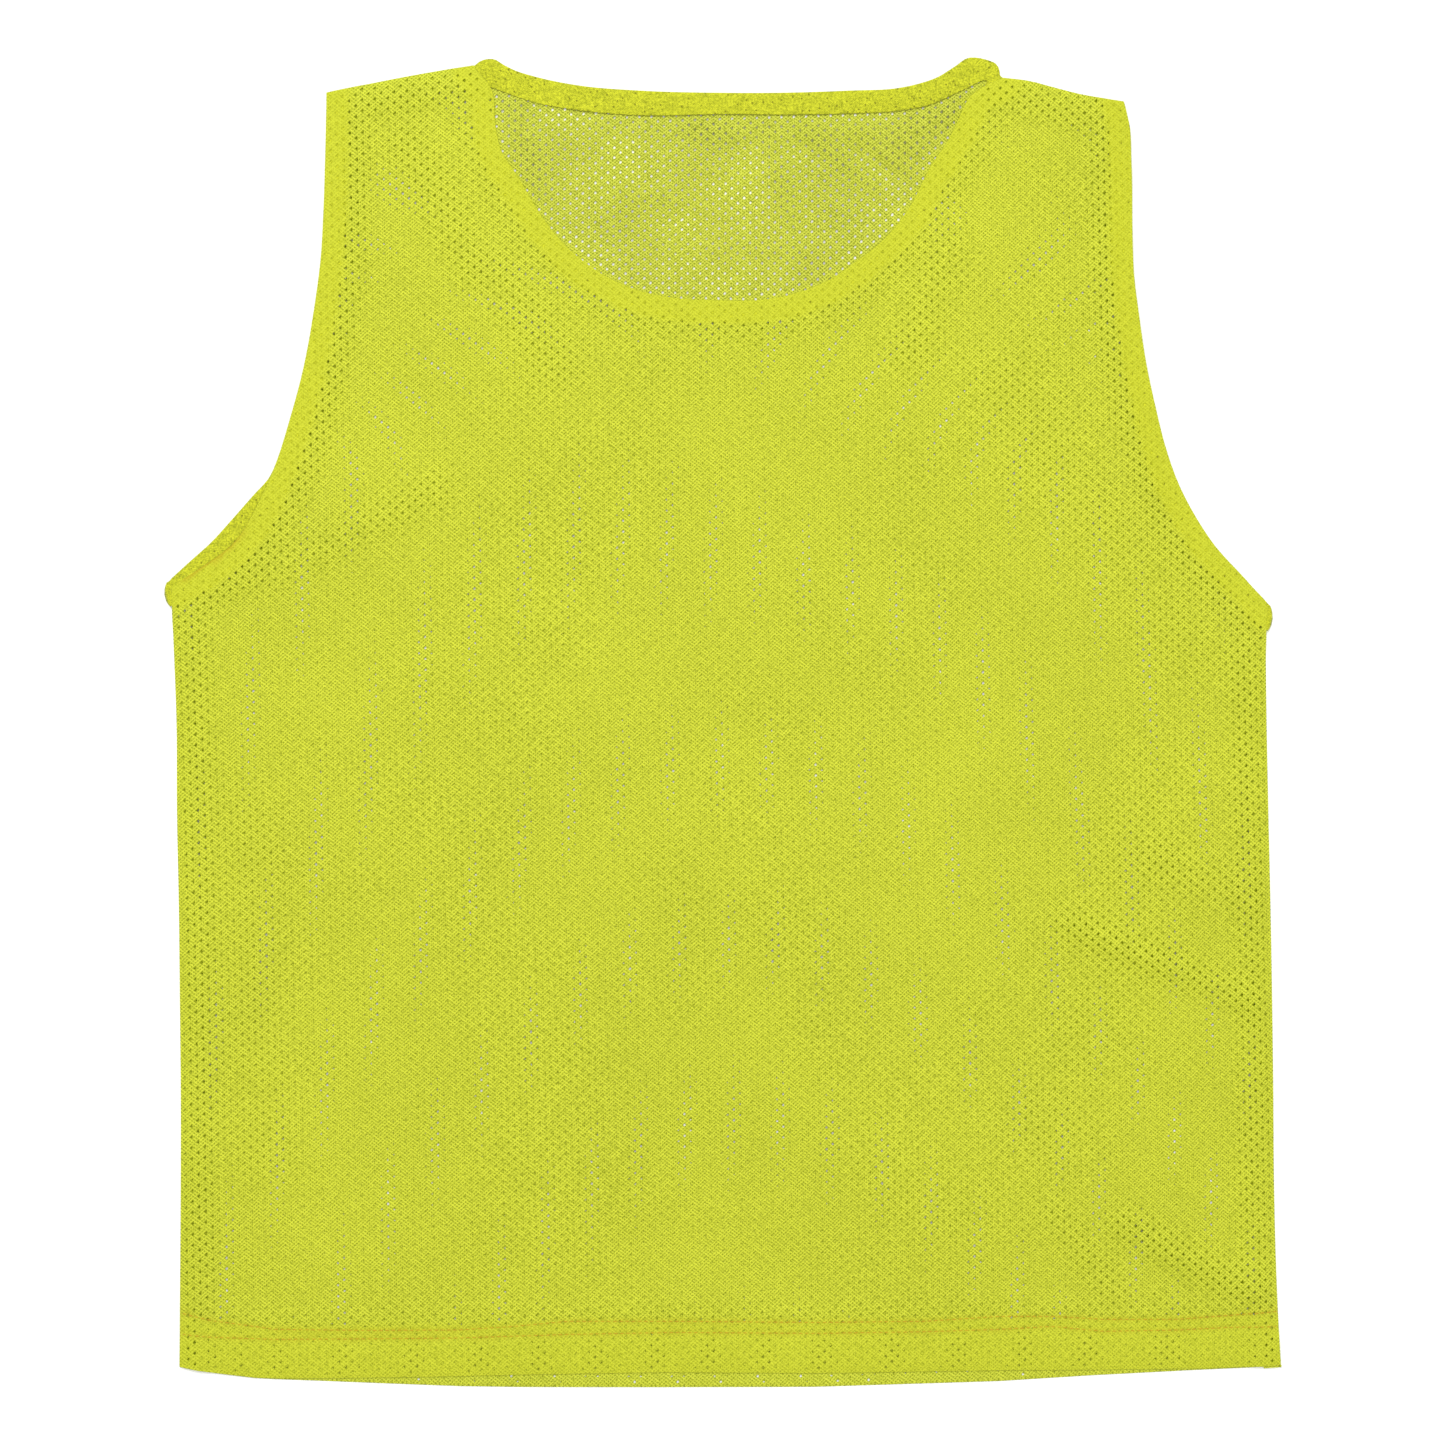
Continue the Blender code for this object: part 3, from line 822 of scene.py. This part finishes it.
def flat_station(inner, outer, low, up=1.0):
    """A station of tape: its middle, the way from there to its outer edge, up, and how far it puffs."""
    inner, outer = np.array(inner), np.array(outer)
    return (*((inner + outer) / 2), low + TAPE / 2, *((outer - inner) / 2), 0.0, 0.0, 0.0, up, 0.0)


def inset_points(edge, first_across, last_across):
    """Points one tape width inside an edge, which reach the given ends exactly."""
    tangent = np.gradient(edge, axis=0)
    tangent /= np.linalg.norm(tangent, axis=1)[:, None]
    inward = np.column_stack((-tangent[:, 1], tangent[:, 0]))
    inward *= np.sign((inward[0] * first_across).sum()) * TAPE_WIDTH
    share = np.linspace(0.0, 1.0, len(edge))
    near_first = fall(share / 0.12)[:, None]
    near_last = fall((1.0 - share) / 0.18)[:, None]
    across = inward * (1 - near_first) * (1 - near_last)
    across += np.array(first_across) * near_first + np.array(last_across) * near_last
    return edge + across


def turned_over(fold, outward, puff):
    """Stations of tape turning over a seam, from under the front down to the back."""
    outer, inner = np.array(fold[:2]), np.array(fold[2:])
    middle, across = (outer + inner) / 2, (outer - inner) / 2
    radius = (HIGH_TAPE - LOW_TAPE) / 2
    centre_height = (HIGH_TAPE + LOW_TAPE + TAPE) / 2
    stations = []
    for step in range(1, 6):
        angle = math.pi * step / 6
        reach, lift = math.sin(angle), math.cos(angle)
        centre = middle + outward * radius * reach * 1.6
        up = (*(outward * reach), lift)
        stations.append((*centre, centre_height + radius * lift, *across, 0.0, *up, puff * reach))
    return stations


def fold_outward(fold, body_middle):
    outer, inner = np.array(fold[:2]), np.array(fold[2:])
    along = (inner - outer) / np.linalg.norm(inner - outer)
    square = np.array((-along[1], along[0]))
    return square * np.sign((square * ((outer + inner) / 2 - np.array(body_middle))).sum())


def armhole_stations(front_edge, back_edge, shoulder_fold, underarm_fold):
    """Down the front of the armhole, over the underarm seam, up the back and over the shoulder seam."""
    shoulder, underarm = np.array(shoulder_fold), np.array(underarm_fold)
    arcs = []
    for edge, low, up in ((front_edge, HIGH_TAPE, 1.0), (back_edge, LOW_TAPE, -1.0)):
        outline = smooth((shoulder_fold[:2],) + edge[1:-1] + (underarm_fold[:2],), 60)
        inner = inset_points(outline, shoulder[2:] - shoulder[:2], underarm[2:] - underarm[:2])
        arcs.append([flat_station(b, a, low, up) for a, b in zip(outline, inner)])
    front_arc, back_arc = arcs
    underarm_turn = turned_over(underarm_fold, fold_outward(underarm_fold, (0.0, 50.0)), UNDERARM_PUFF)
    shoulder_turn = turned_over(shoulder_fold, fold_outward(shoulder_fold, (shoulder_fold[0], 0.0)), 0.0)
    return front_arc + underarm_turn + back_arc[::-1] + shoulder_turn[::-1]


def neck_stations():
    """Along the back neck, round the nub, down and up the scoop under the front, and round the hump."""
    edge = smooth(SCOOP[2:-3], 60)[::-1]
    tangent = np.gradient(edge, axis=0)
    tangent /= np.linalg.norm(tangent, axis=1)[:, None]
    outward = np.column_stack((-tangent[:, 1], tangent[:, 0]))
    rows = [*smooth(NECK_TAPE_BACK, 50), *RIGHT_NUB]
    rows += [(*(p + 0.5 * way), *(p + TAPE_WIDTH * way)) for p, way in zip(edge, outward)]
    rows += LEFT_HUMP
    return [flat_station(row[:2], row[2:], LOW_TAPE) for row in rows]


def tape(name, stations, count, shape):
    """A closed ring of knitted tape, flat but rounded at its edges, with the relief that shape gives."""
    ring = np.array(stations)
    padded = smooth(np.vstack((ring[-4:], ring, ring[:5])), 3 * count)
    middle = padded[:, :2]
    first = np.argmin(np.linalg.norm(middle[:count] - ring[0, :2], axis=1))
    last = 2 * count + np.argmin(np.linalg.norm(middle[2 * count :] - ring[0, :2], axis=1))
    picked = padded[np.round(np.linspace(first, last, count + 1)).astype(int)[:-1]]
    along = np.concatenate(([0.0], np.cumsum(np.linalg.norm(np.diff(picked[:, :3], axis=0), axis=1))))
    around = 28
    mesh = bmesh.new()
    bmesh.ops.create_grid(mesh, x_segments=count, y_segments=around, size=0.5)
    cloth = np.zeros((len(mesh.verts), 2))
    for vertex in mesh.verts:
        i = round((vertex.co.x + 0.5) * count)
        j = round((vertex.co.y + 0.5) * around)
        station = picked[i % count]
        centre, across, up = station[:3], station[3:6], station[6:9] / np.linalg.norm(station[6:9])
        half_width = np.linalg.norm(across)
        angle = 2.0 * math.pi * (j % around) / around
        c, s = math.cos(angle), math.sin(angle)
        wide = math.copysign(abs(c) ** 0.45, c)
        thick = math.copysign(abs(s) ** 0.7, s) * TAPE / 2
        side, lift = shape(along[i % count], wide * half_width, half_width, thick > 0)
        bulge = station[9] * (1.0 - 1.8 * wide**2)
        vertex.co = centre + across / half_width * (wide * half_width + side) + up * (thick + lift + bulge)
        cloth[vertex.index] = (along[i] if i < count else along[-1] + 1.3, wide * half_width)
    uv = mesh.verts.layers.float_vector.new("cloth_place")
    for vertex in mesh.verts:
        vertex[uv] = (*cloth[vertex.index], 0.0)
    bmesh.ops.remove_doubles(mesh, verts=mesh.verts, dist=0.0005)
    bmesh.ops.recalc_face_normals(mesh, faces=mesh.faces)
    places = [tuple(v[uv][:2]) for v in mesh.verts]
    return add_piece(name, mesh, lambda points: np.array(places))


def neck_relief(along, across, half_width, on_top):
    """Stitches pull scallops into the tape's lower edge, its join is pressed flat, and the nub wrinkles."""
    from_inner = across + half_width
    side = 0.16 * math.cos(2.0 * math.pi * along / STITCH_PITCH) * math.exp(-from_inner)
    if not on_top:
        return side, 0.0
    swell = 0.10 * math.sin(along / 9.0) * math.sin(across * 0.5 + along / 23.0)
    join = sum(-0.18 * math.exp(-(((along - at) / 0.7) ** 2)) for at in TAPE_JOIN)
    into_nub = rise((along - NUB[0]) / 4.0) * fall((along - NUB[1]) / 4.0)
    wrinkles = 0.22 * into_nub * math.sin(2.0 * math.pi * (along + 0.5 * across) / 3.1)
    return side, swell + join + wrinkles


def armhole_relief(along, across, half_width, on_top):
    from_inner = across + half_width
    pull = math.cos(2.0 * math.pi * along / STITCH_PITCH)
    swell = 0.08 * math.sin(along / 7.0) * math.sin(across * 0.4 + along / 19.0)
    return 0.1 * pull * math.exp(-from_inner), swell


neck_tape = tape("neck_tape_cloth", neck_stations(), 430, neck_relief)
arm_tape_left = tape(
    "armhole_tape_left_cloth",
    armhole_stations(LEFT_ARM_FRONT, LEFT_ARM_BACK, LEFT_SHOULDER_FOLD, LEFT_UNDERARM_FOLD),
    330,
    armhole_relief,
)
arm_tape_right = tape(
    "armhole_tape_right_cloth",
    armhole_stations(RIGHT_ARM, RIGHT_ARM, RIGHT_SHOULDER_FOLD, RIGHT_UNDERARM_FOLD),
    330,
    armhole_relief,
)


def stitches(name, lines, height_at, pitch, length, thickness):
    """Rows of short sunken stitches, each a flattened bead of thread along the line."""
    mesh = bmesh.new()
    for line in lines:
        total = np.linalg.norm(np.diff(line, axis=0), axis=1).sum()
        rows = smooth(line, max(int(total / pitch), 3))
        ahead = np.gradient(rows, axis=0)
        heights = height_at(rows)
        for (x, y), (along_x, along_y), z in zip(rows, ahead, heights):
            turn = Matrix.Rotation(math.atan2(along_y, along_x), 4, "Z")
            size = Matrix.Diagonal((length / 2, thickness / 2, thickness / 2.6, 1.0))
            place = Matrix.Translation((x, y, z)) @ turn @ size
            bmesh.ops.create_uvsphere(mesh, u_segments=6, v_segments=4, radius=1.0, matrix=place)
    return add_piece(name, mesh, lambda points: points[:, :2])


def hem_row(column, shift=0.0):
    x = np.linspace(-242.0, 248.0, 120)
    return np.column_stack((x, stitch_height(x, column) + shift))


front_thread = stitches(
    "front_hem_stitches",
    [hem_row(1), hem_row(2)],
    lambda points: front_height(points) + 0.05,
    pitch=2.75,
    length=2.3,
    thickness=0.5,
)
back_thread = stitches(
    "back_hem_stitches",
    [hem_row(1, -3.0), hem_row(2, -3.0)],
    lambda points: back_height(points) - 0.02,
    pitch=2.75,
    length=2.3,
    thickness=0.4,
)
# The neck tape's stitches along its lower edge: real stitches, in a dark thread whose darkness is partly
# painted shade for the shadow line there.
neck_rows = smooth([row[:2] for row in NECK_TAPE_BACK], 80)
neck_down = np.array([0.0, -0.15])
neck_stitches_and_shade = stitches(
    "neck_tape_stitches_and_shade",
    [neck_rows + neck_down],
    level(LOW_TAPE + 0.25),
    pitch=STITCH_PITCH,
    length=1.4,
    thickness=0.62,
)


def new_material(name):
    material = bpy.data.materials.new(name)
    material.use_nodes = True
    material.node_tree.nodes.clear()
    return material


class Recipe:
    """Adds shader nodes to a material and links them."""

    def __init__(self, material):
        self.tree = material.node_tree

    def node(self, kind, inputs=(), **settings):
        made = self.tree.nodes.new(kind)
        for key, value in settings.items():
            setattr(made, key, value)
        for socket, value in dict(inputs).items():
            if isinstance(value, bpy.types.NodeSocket):
                self.tree.links.new(value, made.inputs[socket])
            else:
                made.inputs[socket].default_value = value
        return made

    def math(self, operation, *values):
        return self.node("ShaderNodeMath", dict(enumerate(values)), operation=operation).outputs[0]

    def between(self, share, low, high):
        """A colour between two, by share."""
        mixed = self.node("ShaderNodeMix", {0: share, 6: low, 7: high}, data_type="RGBA")
        return mixed.outputs[2]

    def between_values(self, value, low, high):
        """Spreads the stretch from low to high over 0 to 1."""
        return self.node("ShaderNodeMapRange", {"Value": value, "From Min": low, "From Max": high}).outputs[0]

    def mark(self, name):
        """A share that the piece carries at its points."""
        return self.node("ShaderNodeAttribute", attribute_name=name).outputs["Fac"]

    def noise(self, place, scale, detail=2.0):
        made = self.node("ShaderNodeTexNoise", {"Vector": place, "Scale": scale, "Detail": detail})
        return made.outputs["Fac"]


def cloth_shader(recipe, colour, through, share_through, height, bump, distance, rough=0.78):
    """Cloth: a dull surface with a little sheen, lit through from behind."""
    raised = recipe.node("ShaderNodeBump", {"Height": height, "Strength": bump, "Distance": distance})
    face = recipe.node(
        "ShaderNodeBsdfPrincipled",
        {"Base Color": colour, "Roughness": rough, "Normal": raised.outputs[0]},
    )
    face.inputs["Specular IOR Level"].default_value = 0.25
    face.inputs["Sheen Weight"].default_value = 0.15
    face.inputs["Sheen Roughness"].default_value = 0.5
    glow = recipe.node("ShaderNodeBsdfTranslucent", {"Color": through, "Normal": raised.outputs[0]})
    mixed = recipe.node("ShaderNodeMixShader", {0: share_through, 1: face.outputs[0], 2: glow.outputs[0]})
    recipe.node("ShaderNodeOutputMaterial", {"Surface": mixed.outputs[0]})


def courses(recipe, place, across, rising, falling):
    """Two crossing sets of fine slanting courses in uneven yarn, from 0 between them to 1 on them."""
    # From column to column one set lies over the other.
    column = recipe.math("SINE", recipe.math("MULTIPLY", across, math.pi))
    side = recipe.math("MULTIPLY_ADD", column, 0.25, 0.75)
    other_side = recipe.math("SUBTRACT", 1.5, side)
    wobble = recipe.math("MULTIPLY", recipe.noise(place, 700.0), 1.6)
    strokes = []
    for way, other, weight in ((rising, falling, side), (falling, rising, other_side)):
        wave = recipe.math("SINE", recipe.math("MULTIPLY_ADD", way, 6.0 * math.pi, wobble))
        stroke = recipe.node(
            "ShaderNodeCombineXYZ",
            {
                0: recipe.math("FLOOR", recipe.math("MULTIPLY", way, 3.0)),
                1: recipe.math("FLOOR", recipe.math("MULTIPLY", other, 1.4)),
            },
        )
        chance = recipe.node("ShaderNodeTexWhiteNoise", {"Vector": stroke.outputs[0]}).outputs["Value"]
        weight = recipe.math("MULTIPLY", weight, recipe.math("MULTIPLY_ADD", chance, 0.8, 0.6))
        strokes.append(recipe.math("MULTIPLY", wave, weight))
    return recipe.math("MULTIPLY_ADD", recipe.math("MAXIMUM", *strokes), 0.5, 0.5)


def from_nearest_hole(recipe, pitch, rising, falling):
    """How far each spot is from the middle of the nearest hole, in millimetres."""
    off_rising = recipe.math("SUBTRACT", rising, recipe.math("ROUND", rising))
    off_falling = recipe.math("SUBTRACT", falling, recipe.math("ROUND", falling))
    off_across = recipe.math("MULTIPLY", recipe.math("ADD", off_rising, off_falling), pitch[0])
    off_along = recipe.math("MULTIPLY", recipe.math("SUBTRACT", off_falling, off_rising), pitch[1])
    squared = recipe.math("POWER", off_across, 2.0)
    squared = recipe.math("ADD", squared, recipe.math("POWER", off_along, 2.0))
    return recipe.math("SQRT", squared)


def net_material(name, pitch, dark, light, through):
    """Net: slanting courses with rounded rims at the holes, in a tone that the piece's marks change, with
    painted light over the tapes and painted shade along the hem's stitches, in the underarm crease and on the
    bare back.
    """
    recipe = Recipe(new_material(name))
    uv = recipe.node("ShaderNodeUVMap", uv_map="cloth").outputs[0]
    place = recipe.node("ShaderNodeTexCoord").outputs["Object"]
    parts = recipe.node("ShaderNodeSeparateXYZ", {0: uv})
    across = recipe.math("DIVIDE", parts.outputs[0], pitch[0])
    along = recipe.math("DIVIDE", parts.outputs[1], pitch[1])
    rising = recipe.math("MULTIPLY", recipe.math("SUBTRACT", across, along), 0.5)
    falling = recipe.math("MULTIPLY", recipe.math("ADD", across, along), 0.5)
    course = courses(recipe, place, across, rising, falling)
    rim = recipe.between_values(from_nearest_hole(recipe, pitch, rising, falling), 0.5, 0.9)
    speckle = recipe.between_values(recipe.noise(place, 1500.0, 3.0), 0.3, 0.7)
    fuzz = recipe.between_values(recipe.noise(place, 420.0, 3.0), 0.3, 0.7)
    cloud = recipe.noise(place, 14.0)
    backed = recipe.mark("over_tape")
    bare = recipe.mark("bare")
    strength = recipe.math("MULTIPLY_ADD", backed, -0.1, recipe.math("MULTIPLY_ADD", bare, 0.6, 1.15))
    speckled = recipe.math("MULTIPLY_ADD", bare, 0.6, recipe.math("MULTIPLY_ADD", backed, 0.3, 0.65))
    tone = recipe.math("MULTIPLY", recipe.math("SUBTRACT", course, 0.63), strength)
    tone = recipe.math("MULTIPLY_ADD", recipe.math("SUBTRACT", speckle, 0.5), speckled, tone)
    tone = recipe.math("ADD", tone, recipe.math("MULTIPLY_ADD", fuzz, 0.14, -0.07))
    tone = recipe.math("ADD", tone, recipe.math("MULTIPLY_ADD", cloud, 0.2, 0.4))
    colour = recipe.between(recipe.node("ShaderNodeClamp", {0: tone}).outputs[0], dark, light)
    # Painted light: the front is drawn brighter where a tape or its hem lies behind it.
    colour = recipe.between(recipe.math("MULTIPLY", backed, 0.55), colour, OVER_TAPE_PAINTED_LIGHT)
    # Painted shade in the grooves of the hem's needle lines.
    colour = recipe.between(recipe.math("MULTIPLY", recipe.mark("stitch_groove_shade"), 0.3), colour, SEWN_PAINTED_SHADE)
    # Painted shade in the left underarm's crease, warm orange from light bounced between the two layers.
    colour = recipe.between(recipe.math("MULTIPLY", recipe.mark("crease_shade"), 0.8), colour, CREASE_PAINTED_SHADE)
    # Painted shade where the back lies bare.
    shade = recipe.between(bare, WHITE, BARE_PAINTED_SHADE)
    shaded_colour = recipe.node(
        "ShaderNodeMix",
        {0: 1.0, 6: colour, 7: shade},
        data_type="RGBA",
        blend_type="MULTIPLY",
    )
    height = recipe.math("MULTIPLY_ADD", course, 0.6, recipe.math("MULTIPLY", speckle, 0.35))
    height = recipe.math("ADD", height, rim)
    cloth_shader(recipe, shaded_colour.outputs[2], through, 0.3, height, 0.8, 0.00025, rough=0.6)
    return bpy.data.materials[name]


def tape_material(name, dark, light, pin_hole_shade, through):
    """Plain knit: fine uneven loops, with scattered small holes as dents whose dark dots are painted shade.
    """
    recipe = Recipe(new_material(name))
    uv = recipe.node("ShaderNodeUVMap", uv_map="cloth").outputs[0]
    place = recipe.node("ShaderNodeTexCoord").outputs["Object"]
    parts = recipe.node("ShaderNodeSeparateXYZ", {0: uv})
    wobble = recipe.math("MULTIPLY", recipe.noise(place, 600.0), 3.0)
    ribs = recipe.math("SINE", recipe.math("MULTIPLY_ADD", parts.outputs[0], 2.0 * math.pi / 1.1, wobble))
    rows = recipe.math("SINE", recipe.math("MULTIPLY_ADD", parts.outputs[1], 2.0 * math.pi / 1.0, wobble))
    knit = recipe.math("MULTIPLY_ADD", recipe.math("MULTIPLY", ribs, rows), 0.5, 0.5)
    speckle = recipe.between_values(recipe.noise(place, 1300.0, 3.0), 0.3, 0.7)
    fuzz = recipe.between_values(recipe.noise(place, 420.0, 3.0), 0.3, 0.7)
    tone = recipe.math("MULTIPLY_ADD", knit, 0.35, recipe.math("MULTIPLY", speckle, 0.75))
    tone = recipe.math("ADD", tone, recipe.math("MULTIPLY_ADD", fuzz, 0.3, -0.16))
    colour = recipe.between(recipe.node("ShaderNodeClamp", {0: tone}).outputs[0], dark, light)
    # Painted shade: dark dots where the tape's scattered holes are.
    cells = recipe.node("ShaderNodeTexVoronoi", {"Vector": uv, "Scale": 0.24}, voronoi_dimensions="2D")
    chance = recipe.node("ShaderNodeSeparateColor", {0: cells.outputs["Color"]}).outputs[0]
    dots = recipe.math("LESS_THAN", cells.outputs["Distance"], 0.1)
    dots = recipe.math("MULTIPLY", dots, recipe.math("GREATER_THAN", chance, 0.5))
    colour = recipe.between(recipe.math("MULTIPLY", dots, 0.85), colour, pin_hole_shade)
    height = recipe.math("MULTIPLY_ADD", knit, 0.5, speckle)
    height = recipe.math("SUBTRACT", height, dots)
    cloth_shader(recipe, colour, through, 0.2, height, 0.5, 0.00018)
    return bpy.data.materials[name]


def thread_material(name, dark, light):
    recipe = Recipe(new_material(name))
    place = recipe.node("ShaderNodeTexCoord").outputs["Object"]
    twist = recipe.noise(place, 2600.0, 3.0)
    colour = recipe.between(twist, dark, light)
    cloth_shader(recipe, colour, light, 0.1, twist, 0.3, 0.0001, rough=0.6)
    return bpy.data.materials[name]


front_material = net_material(
    "front net",
    FRONT_PITCH,
    (0.32, 0.37, 0.002, 1.0),
    (0.865, 0.915, 0.054, 1.0),
    (0.60, 0.65, 0.020, 1.0),
)
back_material = net_material(
    "back net",
    BACK_PITCH,
    (0.32, 0.37, 0.003, 1.0),
    (0.865, 0.915, 0.066, 1.0),
    (0.58, 0.63, 0.026, 1.0),
)
tape_cloth = tape_material(
    "tape knit",
    (0.24, 0.27, 0.002, 1.0),
    (0.78, 0.81, 0.028, 1.0),
    (0.20, 0.20, 0.003, 1.0),
    (0.54, 0.58, 0.018, 1.0),
)
thread = thread_material("thread", (0.46, 0.28, 0.003, 1.0), (0.64, 0.44, 0.008, 1.0))
# Thread colour darkened into painted shade, for the shadow line below the neck tape.
neck_thread_and_shade = thread_material("neck thread", (0.20, 0.21, 0.006, 1.0), (0.34, 0.35, 0.012, 1.0))


def dress(piece, material):
    piece.data.materials.append(material)
    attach(piece, "root")


dress(front_net, front_material)
dress(front_hem, front_material)
dress(back_net, back_material)
dress(back_hem, back_material)
for allowance in allowances:
    dress(allowance, back_material)
for piece in (neck_tape, arm_tape_left, arm_tape_right):
    dress(piece, tape_cloth)
dress(front_thread, thread)
dress(back_thread, thread)
dress(neck_stitches_and_shade, neck_thread_and_shade)

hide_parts("front_panel")
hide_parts("back_panel")
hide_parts("neck_tape")
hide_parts("armhole_tape_left")
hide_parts("armhole_tape_right")


def add_floor(name, mesh, colour_from):
    """A flat dull piece of the stage. colour_from gives its colour from its recipe."""
    data = bpy.data.meshes.new(name)
    mesh.to_mesh(data)
    mesh.free()
    sheet = bpy.data.objects.new(name, data)
    bpy.context.scene.collection.objects.link(sheet)
    recipe = Recipe(new_material(name))
    paint = recipe.node(
        "ShaderNodeBsdfPrincipled",
        {"Base Color": colour_from(recipe), "Roughness": 0.9, "Specular IOR Level": 0.1},
    )
    recipe.node("ShaderNodeOutputMaterial", {"Surface": paint.outputs[0]})
    data.materials.append(bpy.data.materials[name])


def add_plain_floor():
    mesh = bmesh.new()
    bmesh.ops.create_grid(mesh, x_segments=1, y_segments=1, size=4.0)
    bmesh.ops.translate(mesh, vec=(0.0, 0.0, -0.05 * MM), verts=mesh.verts)
    add_floor("floor", mesh, lambda recipe: (0.95, 0.95, 0.95, 1.0))


# Painted shade in grey patches, seen through the holes.
def patchy_painted_shade(recipe):
    place = recipe.node("ShaderNodeTexCoord").outputs["Object"]
    patches = recipe.between_values(recipe.noise(place, 32.0, 1.0), 0.3, 0.7)
    return recipe.between(patches, (0.47, 0.46, 0.44, 1.0), (0.86, 0.85, 0.82, 1.0))


def add_painted_shade_under_bib():
    """Painted shade on the floor under the bib: a grey, uneven patch that shows through the holes."""
    mesh = bmesh.new()
    edge = [mesh.verts.new((x * MM, y * MM, 0.02 * MM)) for x, y in shrunk(back_outline, 6.0)[::3]]
    mesh.faces.new(edge)
    bmesh.ops.triangulate(mesh, faces=mesh.faces)
    add_floor("floor_under_bib", mesh, patchy_painted_shade)


def add_lamp(name, place, size, power):
    """A square soft light aimed at the bib."""
    data = bpy.data.lights.new(name, "AREA")
    data.shape = "SQUARE"
    data.size = size
    data.energy = power
    lamp = bpy.data.objects.new(name, data)
    bpy.context.scene.collection.objects.link(lamp)
    lamp.location = place
    aim = -lamp.location
    lamp.rotation_mode = "QUATERNION"
    lamp.rotation_quaternion = aim.to_track_quat("-Z", "Y")


def add_camera():
    data = bpy.data.cameras.new("camera")
    data.lens = CAMERA_LENS
    data.sensor_width = CAMERA_SENSOR
    camera = bpy.data.objects.new("camera", data)
    bpy.context.scene.collection.objects.link(camera)
    camera.location = (*FRAME_CENTRE, FRAME_WIDTH * CAMERA_LENS / CAMERA_SENSOR)
    bpy.context.scene.camera = camera


def add_sky():
    world = bpy.data.worlds.new("studio")
    world.use_nodes = True
    world.node_tree.nodes["Background"].inputs["Color"].default_value = (1.0, 1.0, 1.0, 1.0)
    world.node_tree.nodes["Background"].inputs["Strength"].default_value = 0.6
    bpy.context.scene.world = world


add_plain_floor()
add_painted_shade_under_bib()
add_lamp("upper_left", (-0.45, 1.3, 2.2), 1.3, 43.5)
add_lamp("overhead", (0.6, -0.4, 2.6), 1.8, 23.0)
add_camera()
add_sky()
bpy.context.scene.view_settings.view_transform = "Standard"
